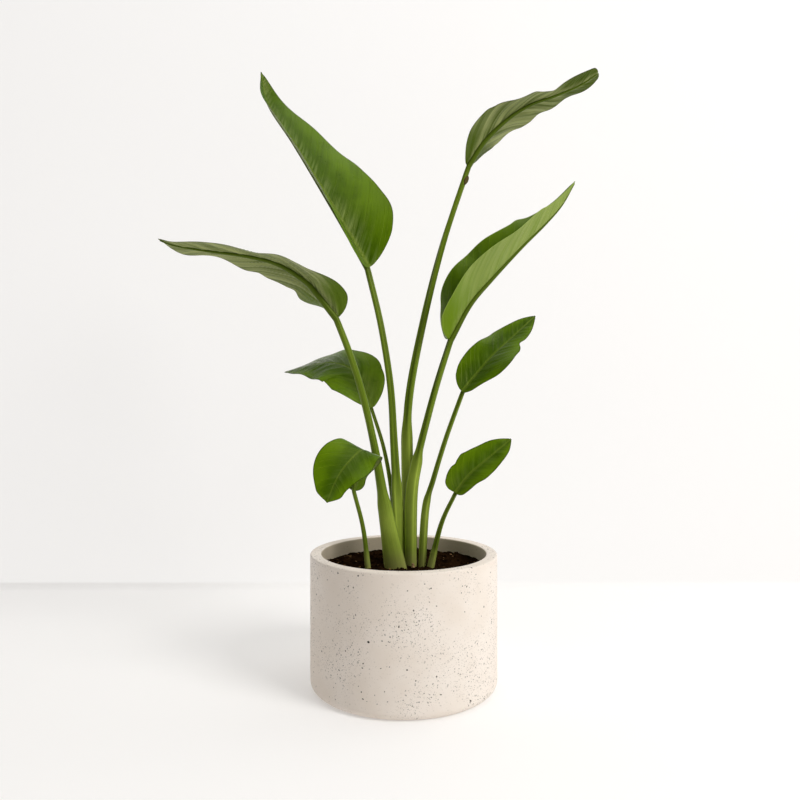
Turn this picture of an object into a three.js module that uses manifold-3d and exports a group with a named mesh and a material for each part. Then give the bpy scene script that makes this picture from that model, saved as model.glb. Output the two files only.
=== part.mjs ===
// A young white bird of paradise in a round pot.
//
// Millimetres, +Z up. The origin is the middle of the pot's flat underside. -Y is the side
// that the plant shows to a viewer, +X is that viewer's right.
//
// The pot is a turned body with a filled soil plug. A rootstock lies in the soil, and eight
// leaf stalks stand on it. Each stalk is one swept body that runs on as the midrib, and each
// blade is a thin waved sheet that lies on its midrib.

import * as THREE from "three";
import Module from "manifold-3d";
import { mergeVertices } from "three/addons/utils/BufferGeometryUtils.js";

// Pot
const POT_RADIUS = 125;
const POT_HEIGHT = 176;
const POT_WALL = 15;
const POT_FLOOR = 16;
const FOOT_ROUND = 11;
const RIM_ROUND = 3;
const INNER_ROUND = 10;
const POT_SIDES = 64;

// Soil
const SOIL_HEIGHT = 157;
const SOIL_SIDES = 56;
const SOIL_RINGS = 6;

// Gap left between neighbouring pieces
const GAP = 0.4;
const MIDRIB_GAP = 0.4;

// Rootstock: a flat-topped knob with fleshy roots, and an arm that carries the side shoot
const CROWN_TOP = 145.6;
const CROWN_CENTRE = [6, 3];
const CROWN_HALF = [35, 26];
const CROWN_DEPTH = 44;
const CROWN_SHOULDER = 12;
const CROWN_WAIST = 28;
const ARM_RADIUS = 7;
const ARM_DEPTH = 16;
const ROOT_COUNT = 5;
const ROOT_RADIUS = 4.5;
const ROOT_REACH = 84;
const ROOT_FALL = 88;
const ROOT_DEPTH = 26;
const SCALE_PLACE = [12.5, -14];
const SCALE_TOP = 163;
const SCALE_RADIUS = 4;

// Stalks and blades
const STALK_FOOT = 146;
const STALK_SIDES = 12;
const CHANNEL = 0.35;
const CHANNEL_WIDTH = 0.5;
const STALK_TOP_FACE = 0.78;
const MIDRIB_TIP = 0.8;
const BLADE_THICK = 1;
const BASE_ROUND = 0.07;
const TIP_ROUND = 0.03;
const LOBE_REACH = 0.12;
const LOBE_BEND = 1.2;
const LEAST_HALF = 1.2;
const STRIP_EXTRA = 0.4;
const ROW_INSET = 0.003;
const UPRIGHT_SHARE = 0.12;
const SHOULDER_SHARE = 0.02;
const RINGS_PER_KNOT = 2.4;
const LAST_RING_SHARE = 0.985;
const HOLE_LENGTH = 40;

// The eight leaves. Lists are evenly spaced values from the leaf's foot to its tip.
//   stalk    centre line of the stalk, from the rootstock to the blade
//   wide     half width of the stalk
//   deep     half depth of the stalk
//   sheath   how far up the stalk its sheath reaches, and the width that it adds on each side
//   open     direction that the stalk's channel looks at its foot
//   rib      centre line of the blade
//   face     direction that the blade's upper side looks
//   half     half widths of the blade, left and right of its midrib
//   fold     angle that each half is folded up by, in degrees, left and right
//   sweep    how far the side veins lean towards the tip, as a share of the half width
//   lobe     how far each half reaches back past the end of the stalk, left and right
//   wave     height, count and phase of the waves along the margins
const LEAVES = [
  {
    name: "top_left",
    stalk: [
      [-4, 6, STALK_FOOT], [-8, 2, 235], [-13, 0, 320],
      [-18, 4, 400], [-31, 8, 482], [-51, 12, 560],
    ],
    wide: [7.5, 6.6, 5, 4.5, 4.25],
    deep: [5.5, 5.2, 4.8, 4.4, 4.2],
    sheath: [0.3, 0.8],
    open: [0.5, -0.85, 0],
    rib: [
      [-47, 9, 560], [-72, 11, 604], [-113, 18, 673],
      [-152, 27, 737], [-189, 36, 794], [-200, 40, 840],
    ],
    face: [[0.62, -0.72, 0.3], [0.62, -0.72, 0.3], [0.7, -0.65, 0.3]],
    half: [
      [34, 66, 73, 71, 62, 49, 34, 20, 1],
      [32, 70, 77, 73, 62, 49, 34, 20, 1],
    ],
    fold: [
      [36, 42, 45, 44, 44, 42, 40, 38, 45],
      [54, 36, 22, 13, 9, 8, 10, 18, 26],
    ],
    sweep: 0.25,
    lobe: [8, 8],
    wave: [1.2, 3, 0.4],
    rows: 20,
  },
  {
    name: "left_arch",
    stalk: [
      [-9, -13, STALK_FOOT], [-25, -16, 237], [-39, -16, 319],
      [-55, -18, 389], [-72, -22, 443], [-89, -26, 485],
    ],
    wide: [14.5, 8.2, 5.2, 4.7, 4.3],
    deep: [8, 6.5, 5, 4.6, 4.3],
    sheath: [0.3, 2],
    open: [0.3, 0.95, 0],
    rib: [
      [-88, -22, 487], [-112, -31, 519], [-128, -38, 536], [-160, -50, 555],
      [-197, -62, 563], [-245, -74, 567], [-282, -84, 571], [-301, -90, 577],
    ],
    face: [
      [0.1, 0.9, 0.3], [0.4, 0.65, 0.65], [0.42, 0.3, 0.85],
      [0.25, 0.15, 0.95], [0.15, 0.12, 0.97], [0.1, 0.15, 0.97],
    ],
    half: [
      [26, 42, 48, 50, 46, 40, 31, 21, 1],
      [8, 50, 52, 54, 50, 42, 32, 22, 1],
    ],
    fold: [
      [0, -15, -20, -16, -12, -2, -4, 1, 0],
      [100, 34, 13, -8, -5, -2, 0, -4, 0],
    ],
    sweep: 0.2,
    lobe: [6, 12],
    wave: [3, 3, 0],
    rows: 20,
  },
  {
    name: "top_right",
    stalk: [
      [10, 14, STALK_FOOT], [5, 12, 285], [7, 10, 380],
      [27, 6, 488], [54, 0, 595], [87, -8, 692],
    ],
    wide: [7, 6.2, 5.4, 4.6, 3.85],
    deep: [5.5, 5.5, 5, 4.5, 3.8],
    sheath: [0.355, 1.8],
    open: [-0.5, -0.85, 0],
    rib: [
      [84, -7, 694], [106, -13, 725], [137, -19, 753], [166, -25, 769],
      [196, -29, 778], [228, -33, 790], [251, -40, 803],
    ],
    face: [
      [-0.76, 0.3, 0.58], [-0.6, 0.42, 0.68], [-0.5, 0.3, 0.8],
      [-0.42, 0.3, 0.85], [-0.31, 0.4, 0.87],
    ],
    half: [
      [16, 34, 38, 38, 34, 28, 21, 19, 9],
      [16, 34, 38, 35, 29, 24, 21, 19, 9],
    ],
    fold: [
      [0, 8, 9, 4, -5, 0, 8, 4, 5],
      [0, 11, 2, -4, -15, -14, -8, 6, 5],
    ],
    sweep: 0.25,
    lobe: [4, 6],
    wave: [2, 4, 0],
    rows: 18,
  },
  {
    name: "right_fold",
    stalk: [
      [9.5, -1, STALK_FOOT], [10, -2, 246], [18, -2, 299],
      [33, -4, 360], [46, -4, 407], [62, -6, 459],
    ],
    wide: [5.6, 6.4, 5.2, 4.6, 4.5],
    deep: [5.5, 5.5, 5, 4.6, 4.4],
    sheath: [0.5, 3],
    open: [-0.5, -0.85, 0],
    rib: [
      [59, -7, 461], [86, -5, 509], [117, -1, 545], [158, 5, 588],
      [192, 12, 621], [216, 16, 648], [235, 18, 680],
    ],
    face: [[-0.7, -0.25, 0.6], [-0.7, -0.3, 0.6], [-0.75, -0.5, 0.5]],
    half: [
      [26, 50, 58, 58, 50, 40, 28, 17, 1],
      [26, 50, 58, 58, 50, 40, 28, 17, 1],
    ],
    fold: [
      [0, 26, 46, 38, 44, 40, 22, 16, 20],
      [68, 49, 48, 42, 42, 45, 51, 62, 58],
    ],
    sweep: 0.2,
    lobe: [10, 10],
    wave: [1.5, 3, 0],
    rows: 20,
  },
  {
    name: "right_mid",
    stalk: [
      [24, -5, STALK_FOOT], [29, -8, 233], [40, -10, 276],
      [57, -14, 332], [77, -18, 391],
    ],
    wide: [4, 4.4, 3.6, 3.2, 3],
    deep: [3.8, 4, 3.5, 3.2, 3],
    sheath: [0.42, 1.4],
    open: [-0.5, -0.85, 0],
    rib: [[77, -18, 391], [96, -15, 414], [119, -10, 440], [148, 3, 466], [180, 16, 495]],
    face: [
      [-0.35, -0.85, 0.36], [-0.38, -0.78, 0.48], [-0.35, -0.64, 0.69],
      [-0.22, -0.72, 0.64], [-0.1, -0.85, 0.5],
    ],
    half: [
      [15, 28, 33, 33, 32, 28, 20, 13, 1],
      [8, 18, 31, 36, 29, 22, 17, 10, 1],
    ],
    fold: [
      [10, 10, 5, 0, 0],
      [10, 10, 5, 0, 0],
    ],
    sweep: 0.3,
    lobe: [4, 4],
    wave: [1.2, 3, 0],
    rows: 15,
  },
  {
    name: "right_low",
    stalk: [[33, -11, STALK_FOOT], [49, -20, 215], [67, -30, 259]],
    wide: [5, 4.2, 3.4, 2.9, 2.7],
    deep: [4.2, 3.8, 3.3, 2.9, 2.7],
    sheath: [0.3, 0.4],
    open: [-0.3, -0.95, 0],
    rib: [[67, -30, 259], [85, -34, 283], [108, -34, 303], [140, -30, 329]],
    face: [[-0.2, -0.9, 0.3], [-0.1, -0.9, 0.4], [0, -0.9, 0.4]],
    half: [
      [15, 23, 25, 25, 23, 20, 16, 10, 1],
      [9, 14, 17, 21, 20, 18, 15, 10, 1],
    ],
    fold: [
      [15, 15, 10],
      [15, 15, 10],
    ],
    sweep: 0.2,
    lobe: [10, 4],
    wave: [1, 3, 0],
    rows: 14,
  },
  {
    name: "left_low",
    stalk: [[-46, -20, STALK_FOOT], [-53, -26, 210], [-65, -34, 262]],
    wide: [4, 3.3, 3, 2.8, 2.7],
    deep: [4, 3.3, 3, 2.8, 2.7],
    sheath: [0.3, 0.3],
    open: [0.3, 0.95, 0],
    rib: [
      [-65, -34, 262], [-61, -28, 285], [-48, -36, 308], [-54, -54, 316],
      [-72, -74, 299], [-84, -85, 280], [-94, -94, 255],
    ],
    face: [
      [0.1, 0.95, 0], [-0.1, 0.8, 0.5], [0.2, -0.5, 0.8],
      [-0.2, -0.85, 0.4], [-0.3, -0.9, 0.3],
    ],
    half: [
      [13, 14, 18, 23, 28, 30, 25, 16, 1],
      [9, 14, 18, 24, 32, 38, 36, 24, 1],
    ],
    fold: [
      [0, -15, -15, 0, 0],
      [0, 0, 10, 12, 10],
    ],
    sweep: 0.1,
    lobe: [2, 2],
    wave: [1, 2, 0],
    rows: 20,
  },
  {
    name: "left_mid",
    stalk: [[-6, 22, STALK_FOOT], [-15, 30, 241], [-27, 36, 310], [-44, 42, 369]],
    wide: [4.6, 4.1, 3.2, 2.7, 2.5],
    deep: [4.2, 3.9, 3.2, 2.7, 2.5],
    sheath: [0.3, 0.4],
    open: [0.3, -0.95, 0],
    rib: [[-44, 42, 369], [-58, 46, 400], [-76, 52, 425], [-113, 66, 433], [-175, 90, 421]],
    face: [
      [0.5, -0.8, 0.3], [0.25, -0.88, 0.4], [0.12, -0.65, 0.75],
      [-0.08, -0.45, 0.9], [-0.22, -0.2, 0.96],
    ],
    half: [
      [14, 38, 46, 46, 43, 34, 23, 14, 1],
      [12, 36, 42, 41, 42, 36, 26, 15, 1],
    ],
    fold: [
      [15, 8, 0, 0, 0, -8, -8, -6, 0],
      [0, 0, -3, -10, -5, -10, -8, -2, 0],
    ],
    sweep: 0.3,
    lobe: [4, 4],
    wave: [1.2, 3, 0],
    rows: 16,
  },
];

const LEFT = 0;
const RIGHT = 1;

const wasm = await Module();
wasm.setup();

// Solid from a closed geometry
function solid(geometry) {
  const bare = new THREE.BufferGeometry();
  bare.setAttribute("position", geometry.getAttribute("position"));
  bare.setIndex(geometry.index);
  const merged = mergeVertices(bare, 1e-3);
  return new wasm.Manifold(
    new wasm.Mesh({
      numProp: 3,
      vertProperties: new Float32Array(merged.attributes.position.array),
      triVerts: new Uint32Array(merged.index.array),
    }),
  );
}

// Geometry from a solid
function shell(body) {
  const mesh = body.getMesh();
  return closed(Array.from(mesh.vertProperties), Array.from(mesh.triVerts));
}

// Geometry from a flat list of coordinates and a list of corners
function closed(coordinates, corners) {
  const geometry = new THREE.BufferGeometry();
  geometry.setAttribute("position", new THREE.Float32BufferAttribute(coordinates, 3));
  geometry.setIndex(corners);
  geometry.computeVertexNormals();
  return geometry;
}

// Smooth value at t of a list of values that are evenly spaced from 0 to 1
function ramp(list, t) {
  const last = list.length - 1;
  const place = THREE.MathUtils.clamp(t, 0, 1) * last;
  const i = Math.min(Math.floor(place), last - 1);
  const f = place - i;
  const before = i > 0 ? list[i - 1] : 2 * list[0] - list[1];
  const after = i + 2 <= last ? list[i + 2] : 2 * list[last] - list[last - 1];
  const rise = -before + list[i + 1];
  const bend = 2 * before - 5 * list[i] + 4 * list[i + 1] - after;
  const twist = -before + 3 * list[i] - 3 * list[i + 1] + after;
  return list[i] + 0.5 * f * (rise + f * (bend + f * twist));
}

// The same for a list of directions, made square to a tangent
function facing(list, t, tangent) {
  const parts = [0, 1, 2].map((k) => ramp(list.map((v) => v[k]), t));
  const normal = new THREE.Vector3(...parts);
  return normal.addScaledVector(tangent, -normal.dot(tangent)).normalize();
}

function curveThrough(points) {
  const knots = points.map((p) => new THREE.Vector3(...p));
  return new THREE.CatmullRomCurve3(knots, false, "catmullrom", 0.5);
}

function smoothstep(low, high, x) {
  return THREE.MathUtils.smoothstep(x, low, high);
}

// Closed body through rings of points. The rings run clockwise seen from the body's far end.
function loft(rings) {
  const around = rings[0].length;
  const last = (rings.length - 1) * around;
  const corners = [];
  for (let i = 0; i + 1 < rings.length; i += 1) {
    for (let k = 0; k < around; k += 1) {
      const a = i * around + k;
      const b = i * around + ((k + 1) % around);
      corners.push(a, b + around, b, a, a + around, b + around);
    }
  }
  for (let k = 1; k + 1 < around; k += 1) {
    corners.push(0, k, k + 1);
    corners.push(last, last + k + 1, last + k);
  }
  return closed(rings.flat().flatMap((p) => p.toArray()), corners);
}

// Ring of a stalk: an oval with a shallow channel along the side that the normal points to
function stalkRing(centre, side, normal, halfWide, halfDeep) {
  const ring = [];
  for (let k = 0; k < STALK_SIDES; k += 1) {
    const angle = (k / STALK_SIDES - 0.25) * 2 * Math.PI;
    const across = Math.cos(angle);
    const up = Math.sin(angle);
    const dent = up > 0 ? 1 - CHANNEL * Math.exp(-((across / CHANNEL_WIDTH) ** 2)) : 1;
    ring.push(
      centre
        .clone()
        .addScaledVector(side, across * halfWide)
        .addScaledVector(normal, up * dent * halfDeep),
    );
  }
  return ring;
}

// Half width of a leaf's midrib at s along its blade
function midribHalf(leaf, s) {
  return THREE.MathUtils.lerp(leaf.wide[leaf.wide.length - 1], MIDRIB_TIP, s);
}

// Centre, tangent, side and normal of a blade at s along its midrib
function bladeFrame(leaf, rib, s) {
  const centre = rib.getPointAt(s);
  const tangent = rib.getTangentAt(s);
  const normal = facing(leaf.face, s, tangent);
  const side = new THREE.Vector3().crossVectors(tangent, normal);
  return { centre, tangent, normal, side };
}

// Places of the rows of a blade, close together at both ends
function bladeRows(leaf) {
  return Array.from({ length: leaf.rows }, (_, i) => {
    const even = 0.5 - 0.5 * Math.cos((Math.PI * i) / (leaf.rows - 1));
    return ROW_INSET + (1 - 2 * ROW_INSET) * even;
  });
}

// Share of the full half width that is left at the round ends of a blade
function endRound(s) {
  const base = Math.min(1, s / BASE_ROUND);
  const tip = Math.min(1, (1 - s) / TIP_ROUND);
  return Math.sqrt(base * (2 - base) * tip * (2 - tip));
}

// Point of a blade's middle surface. The middle strip is flat, each half is folded up from
// the strip's edge at the fold angle, and its edge waves.
function bladePoint(leaf, frame, s, which, strip, share) {
  const full = Math.max(LEAST_HALF, ramp(leaf.half[which], s) * endRound(s));
  const flat = Math.min(midribHalf(leaf, s) + STRIP_EXTRA, 0.5 * full);
  const sign = which === RIGHT ? 1 : -1;
  const fold = THREE.MathUtils.degToRad(ramp(leaf.fold[which], s));
  const out = (full - flat) * share;
  const [height, count, phase] = leaf.wave;
  const along = 2 * Math.PI * count * s + phase + which;
  const wave = height * share ** 2 * Math.sin(along) * Math.sqrt(Math.sin(Math.PI * s));
  const across = flat * strip + out * Math.cos(fold);
  const lift = out * Math.sin(fold) + wave;
  const run = flat * strip + out;
  const back = leaf.lobe[which] * (run / full) ** LOBE_BEND * Math.exp(-s / LOBE_REACH);
  return frame.centre
    .clone()
    .addScaledVector(frame.side, sign * across)
    .addScaledVector(frame.normal, lift)
    .addScaledVector(frame.tangent, leaf.sweep * run - back);
}

// Columns of a blade from its left margin to its right one: which half, how much of the flat
// strip and which share of the folded half
const COLUMNS = [
  [LEFT, 1, 1], [LEFT, 1, 2 / 3], [LEFT, 1, 1 / 3], [LEFT, 1, 0],
  [RIGHT, 0, 0],
  [RIGHT, 1, 0], [RIGHT, 1, 1 / 3], [RIGHT, 1, 2 / 3], [RIGHT, 1, 1],
];

function bladeGrid(leaf) {
  const rib = curveThrough(leaf.rib);
  return bladeRows(leaf).map((s) => {
    const frame = bladeFrame(leaf, rib, s);
    return COLUMNS.map(([which, strip, share]) =>
      bladePoint(leaf, frame, s, which, strip, share),
    );
  });
}

// Thin closed sheet on both sides of a grid of points, split alike on both faces
function sheet(grid, thick) {
  const rows = grid.length;
  const columns = grid[0].length;
  const count = rows * columns;
  const upper = [];
  const lower = [];
  grid.forEach((row, i) => {
    row.forEach((point, j) => {
      const right = row[Math.min(j + 1, columns - 1)];
      const left = row[Math.max(j - 1, 0)];
      const next = grid[Math.min(i + 1, rows - 1)][j];
      const previous = grid[Math.max(i - 1, 0)][j];
      const normal = new THREE.Vector3()
        .subVectors(right, left)
        .cross(new THREE.Vector3().subVectors(next, previous))
        .normalize();
      upper.push(...point.clone().addScaledVector(normal, thick / 2).toArray());
      lower.push(...point.clone().addScaledVector(normal, -thick / 2).toArray());
    });
  });
  const corners = [];
  for (let i = 0; i + 1 < rows; i += 1) {
    for (let j = 0; j + 1 < columns; j += 1) {
      const a = i * columns + j;
      const b = a + 1;
      const c = b + columns;
      const d = a + columns;
      corners.push(a, b, c, a, c, d);
      corners.push(a + count, c + count, b + count, a + count, d + count, c + count);
    }
  }
  const rim = (from, to) => {
    corners.push(to, from, from + count, to, from + count, to + count);
  };
  const last = (rows - 1) * columns;
  for (let j = 0; j + 1 < columns; j += 1) {
    rim(j, j + 1);
    rim(last + j + 1, last + j);
  }
  for (let i = 0; i + 1 < rows; i += 1) {
    const here = i * columns;
    rim(here + columns - 1, here + 2 * columns - 1);
    rim(here + columns, here);
  }
  return closed([...upper, ...lower], corners);
}

function blade(leaf) {
  return sheet(bladeGrid(leaf), BLADE_THICK);
}

// Middle of the midrib: under the blade's flat strip, a gap below its lower face
function ribCentre(leaf, frame, s) {
  const drop = BLADE_THICK / 2 + MIDRIB_GAP + STALK_TOP_FACE * midribHalf(leaf, s);
  return frame.centre.clone().addScaledVector(frame.normal, -drop);
}

function midribRings(leaf) {
  const rib = curveThrough(leaf.rib);
  const rows = bladeRows(leaf).slice(0, -1);
  return rows.map((s) => {
    const frame = bladeFrame(leaf, rib, s);
    const half = midribHalf(leaf, s);
    return stalkRing(ribCentre(leaf, frame, s), frame.side, frame.normal, half, half);
  });
}

// Rings of a stalk between two shares of its length, grown by an extra width
function stalkRings(leaf, shares, extra) {
  const end = ribCentre(leaf, bladeFrame(leaf, curveThrough(leaf.rib), 0), 0);
  const line = curveThrough([...leaf.stalk.slice(0, -1), end.toArray()]);
  const upright = new THREE.Vector3(0, 0, 1);
  return shares.map((t) => {
    const centre = line.getPointAt(t);
    const lean = smoothstep(0, UPRIGHT_SHARE, t);
    const tangent = upright.clone().lerp(line.getTangentAt(t), lean).normalize();
    const normal = facing([leaf.open, leaf.open, leaf.face[0]], t, tangent);
    const side = new THREE.Vector3().crossVectors(tangent, normal);
    const [top, wing] = leaf.sheath;
    const sheath = wing * (1 - smoothstep(top - SHOULDER_SHARE, top + SHOULDER_SHARE, t));
    const halfWide = ramp(leaf.wide, t) + sheath + extra;
    return stalkRing(centre, side, normal, halfWide, ramp(leaf.deep, t) + extra);
  });
}

// Shares of a stalk's length at which its rings stand, with two more at the sheath's shoulder
function stalkShares(leaf) {
  const steps = Math.round(leaf.stalk.length * RINGS_PER_KNOT);
  const even = Array.from({ length: steps }, (_, i) => (i / steps) * LAST_RING_SHARE);
  const shoulder = [leaf.sheath[0] - SHOULDER_SHARE, leaf.sheath[0] + SHOULDER_SHARE];
  const near = 0.6 * SHOULDER_SHARE;
  const apart = even.filter((t) => shoulder.every((mark) => Math.abs(mark - t) > near));
  return [...apart, ...shoulder].sort((a, b) => a - b);
}

function stalk(leaf) {
  return loft([...stalkRings(leaf, stalkShares(leaf), 0), ...midribRings(leaf)]);
}

// Hole that a stalk's foot stands in, up through the soil's surface
function stalkHole(leaf) {
  const top = HOLE_LENGTH / curveThrough(leaf.stalk).getLength();
  const rings = stalkRings(leaf, [0, top / 3, (2 * top) / 3, top], GAP);
  rings.unshift(rings[0].map((p) => p.clone().setZ(STALK_FOOT - 2)));
  return solid(loft(rings));
}

// Turned body about Z from [radius, height] points
function turned(profile, sides) {
  const points = profile.map(([radius, height]) => new THREE.Vector2(radius, height));
  return new THREE.LatheGeometry(points, sides).rotateX(Math.PI / 2);
}

// Points of a quarter round, from one angle to another in degrees
function quarter(x, z, radius, from, to, steps) {
  return Array.from({ length: steps + 1 }, (_, i) => {
    const angle = THREE.MathUtils.degToRad(from + ((to - from) * i) / steps);
    return [x + radius * Math.cos(angle), z + radius * Math.sin(angle)];
  });
}

function pot() {
  const inner = POT_RADIUS - POT_WALL;
  const profile = [
    [0, 0],
    ...quarter(POT_RADIUS - FOOT_ROUND, FOOT_ROUND, FOOT_ROUND, -90, 0, 5),
    ...quarter(POT_RADIUS - RIM_ROUND, POT_HEIGHT - RIM_ROUND, RIM_ROUND, 0, 90, 3),
    ...quarter(inner + RIM_ROUND, POT_HEIGHT - RIM_ROUND, RIM_ROUND, 90, 180, 3),
    ...quarter(inner - INNER_ROUND, POT_FLOOR + INNER_ROUND, INNER_ROUND, 0, -90, 4),
    [0, POT_FLOOR],
  ];
  return turned(profile, POT_SIDES);
}

// Height of the soil's uneven surface over its mean level
function soilRise(x, y) {
  const broad = Math.sin(0.052 * x + 0.7) * Math.sin(0.061 * y + 1.1);
  const fine = Math.sin(0.19 * x - 0.13 * y) * Math.sin(0.11 * x + 0.21 * y + 0.5);
  return 1.2 * broad + 1.1 * fine;
}

function soilPlug() {
  const radius = POT_RADIUS - POT_WALL - GAP;
  const floor = POT_FLOOR + GAP;
  const profile = [[0, floor]];
  profile.push(
    ...quarter(radius - INNER_ROUND, floor + INNER_ROUND, INNER_ROUND, -90, 0, 4),
  );
  for (let i = 0; i < SOIL_RINGS; i += 1) {
    profile.push([radius * (1 - i / SOIL_RINGS), SOIL_HEIGHT]);
  }
  profile.push([0, SOIL_HEIGHT]);
  const geometry = turned(profile, SOIL_SIDES);
  const place = geometry.getAttribute("position");
  for (let i = 0; i < place.count; i += 1) {
    if (place.getZ(i) > SOIL_HEIGHT - 1) {
      place.setZ(i, place.getZ(i) + soilRise(place.getX(i), place.getY(i)));
    }
  }
  return geometry;
}

// Round limb along points with a list of radii, closed by its end rings
function limb(points, radii, sides, steps, extra) {
  const line = curveThrough(points);
  const rings = [];
  let guide = Math.abs(line.getTangentAt(0).z) > 0.8 ? [1, 0, 0] : [0, 0, 1];
  for (let i = 0; i <= steps; i += 1) {
    const t = i / steps;
    const tangent = line.getTangentAt(t);
    const normal = facing([guide, guide], t, tangent);
    const side = new THREE.Vector3().crossVectors(tangent, normal);
    guide = normal.toArray();
    const radius = ramp(radii, t) + extra;
    const centre = line.getPointAt(t);
    if (i === 0) centre.addScaledVector(tangent, -extra);
    if (i === steps) centre.addScaledVector(tangent, extra);
    const ring = [];
    for (let k = 0; k < sides; k += 1) {
      const angle = (k / sides) * 2 * Math.PI;
      ring.push(
        centre
          .clone()
          .addScaledVector(side, radius * Math.cos(angle))
          .addScaledVector(normal, radius * Math.sin(angle)),
      );
    }
    rings.push(ring);
  }
  return solid(loft(rings));
}

// The rootstock, grown by an extra width on all sides
function rootstockSolid(extra) {
  const [cx, cy] = CROWN_CENTRE;
  const [halfX, halfY] = CROWN_HALF;
  const top = CROWN_TOP + extra;
  const profile = [
    [0, CROWN_TOP - CROWN_DEPTH - extra],
    [0.45, CROWN_TOP - CROWN_DEPTH - extra],
    [0.8, CROWN_TOP - CROWN_WAIST],
    [1, CROWN_TOP - CROWN_SHOULDER],
    [0.97, top],
    [0, top],
  ];
  const knob = turned(profile, 24);
  knob.scale(halfX + extra, halfY + extra, 1);
  knob.translate(cx, cy, 0);
  let body = solid(knob);
  const [gx, gy] = LEAVES.find((leaf) => leaf.name === "left_low").stalk[0];
  const level = CROWN_TOP - ARM_DEPTH;
  const arm = limb(
    [[cx - 20, cy - 6, level - 4], [gx + 16, gy + 9, level - 2], [gx, gy, level]],
    [ARM_RADIUS, ARM_RADIUS],
    10,
    4,
    extra,
  );
  const post = limb(
    [[gx, gy, level - 6], [gx, gy, CROWN_TOP]],
    [ARM_RADIUS, ARM_RADIUS - 0.5],
    12,
    2,
    extra,
  );
  body = body.add(arm).add(post);
  for (let i = 0; i < ROOT_COUNT; i += 1) {
    const turn = ((i + 0.35 * Math.sin(2.4 * i)) / ROOT_COUNT) * 2 * Math.PI + 0.6;
    const reach = ROOT_REACH - 12 * (i % 2);
    const [dx, dy] = [Math.cos(turn), Math.sin(turn)];
    const start = CROWN_TOP - ROOT_DEPTH;
    const root = limb(
      [
        [cx + 14 * dx, cy + 10 * dy, start],
        [0.5 * cx + 0.55 * reach * dx, 0.5 * cy + 0.55 * reach * dy, start - 14],
        [0.9 * reach * dx, 0.9 * reach * dy, start - 0.5 * ROOT_FALL],
        [reach * dx, reach * dy, start - ROOT_FALL],
      ],
      [ROOT_RADIUS, ROOT_RADIUS, 0.8 * ROOT_RADIUS, 0.5 * ROOT_RADIUS],
      6,
      7,
      extra,
    );
    body = body.add(root);
  }
  const [sx, sy] = SCALE_PLACE;
  const scaleFoot = CROWN_TOP - 2 * SCALE_RADIUS;
  const scale = limb(
    [[sx, sy, scaleFoot], [sx + 0.5, sy, 0.5 * (scaleFoot + SCALE_TOP)], [sx - 0.5, sy, SCALE_TOP]],
    [SCALE_RADIUS, SCALE_RADIUS, 0.4 * SCALE_RADIUS],
    8,
    4,
    extra,
  );
  return body.add(scale);
}

function rootstock() {
  return shell(rootstockSolid(0));
}

function soil() {
  let body = solid(soilPlug()).subtract(rootstockSolid(GAP));
  for (const leaf of LEAVES) {
    body = body.subtract(stalkHole(leaf));
  }
  return shell(body);
}

// Materials
function fired(name, color) {
  return new THREE.MeshStandardMaterial({ name, color, roughness: 0.7, metalness: 0 });
}

function earthy(name, color) {
  return new THREE.MeshStandardMaterial({ name, color, roughness: 0.95, metalness: 0 });
}

function leafy(name, color) {
  return new THREE.MeshStandardMaterial({ name, color, roughness: 0.4, metalness: 0 });
}

function piece(name, geometry, material) {
  const mesh = new THREE.Mesh(geometry, material);
  mesh.name = name;
  return mesh;
}

function plantInPot() {
  const group = new THREE.Group();
  group.add(piece("pot", pot(), fired("pot", "#e4dccf")));
  group.add(piece("soil", soil(), earthy("soil", "#2a1e16")));
  group.add(piece("rootstock", rootstock(), earthy("rootstock", "#8a6a45")));
  for (const leaf of LEAVES) {
    group.add(piece("stalk_" + leaf.name, stalk(leaf), leafy("stalk", "#7f9a3e")));
    group.add(piece("blade_" + leaf.name, blade(leaf), leafy("blade", "#41701a")));
  }
  return group;
}

export default plantInPot();
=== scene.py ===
# The looks of a young white bird of paradise in a round speckled pot.
#
# Metres, +Z up, in the frame of the solid part. -Y is the side that the plant shows to a
# viewer, +X is that viewer's right. The values of pot, soil and leaves are in millimetres.
# Centre lines, widths, folds, sweeps, lobes and waves are the solid part's own. The looks add
# finer grids, pleats and nicks, rounder base lobes, a sharper rim and softer sheath ends, and
# the sheaths of the top left and top right leaves are 0.8 wider than in the part.

import bpy
import numpy as np
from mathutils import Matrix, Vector


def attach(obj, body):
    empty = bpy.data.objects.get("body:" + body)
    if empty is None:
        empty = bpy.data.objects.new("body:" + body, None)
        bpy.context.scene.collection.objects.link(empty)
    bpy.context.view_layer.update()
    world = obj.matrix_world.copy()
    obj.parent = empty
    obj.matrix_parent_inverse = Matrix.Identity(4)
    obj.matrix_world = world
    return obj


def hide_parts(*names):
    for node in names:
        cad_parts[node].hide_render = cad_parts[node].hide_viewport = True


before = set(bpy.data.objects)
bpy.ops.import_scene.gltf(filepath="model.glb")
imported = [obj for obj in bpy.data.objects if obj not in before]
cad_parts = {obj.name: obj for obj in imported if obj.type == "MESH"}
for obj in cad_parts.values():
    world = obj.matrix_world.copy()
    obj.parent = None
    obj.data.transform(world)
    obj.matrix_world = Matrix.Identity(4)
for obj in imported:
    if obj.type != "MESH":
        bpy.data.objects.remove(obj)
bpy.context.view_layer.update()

MM = 0.001
SEED = 41

# Pot
POT_RADIUS = 125
POT_HEIGHT = 176
POT_WALL = 15
POT_FLOOR = 16
FOOT_ROUND = 11
RIM_ROUND = 2
INNER_ROUND = 10
POT_SIDES = 256
WALL_UNEVEN = 0.12

# Soil
SOIL_HEIGHT = 157
SOIL_FLOOR = 16.4
SOIL_RADIUS = 109.7
SOIL_SIDES = 240
SOIL_RINGS = 84
CRUMBS = 1700
CHIPS = 90

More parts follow.
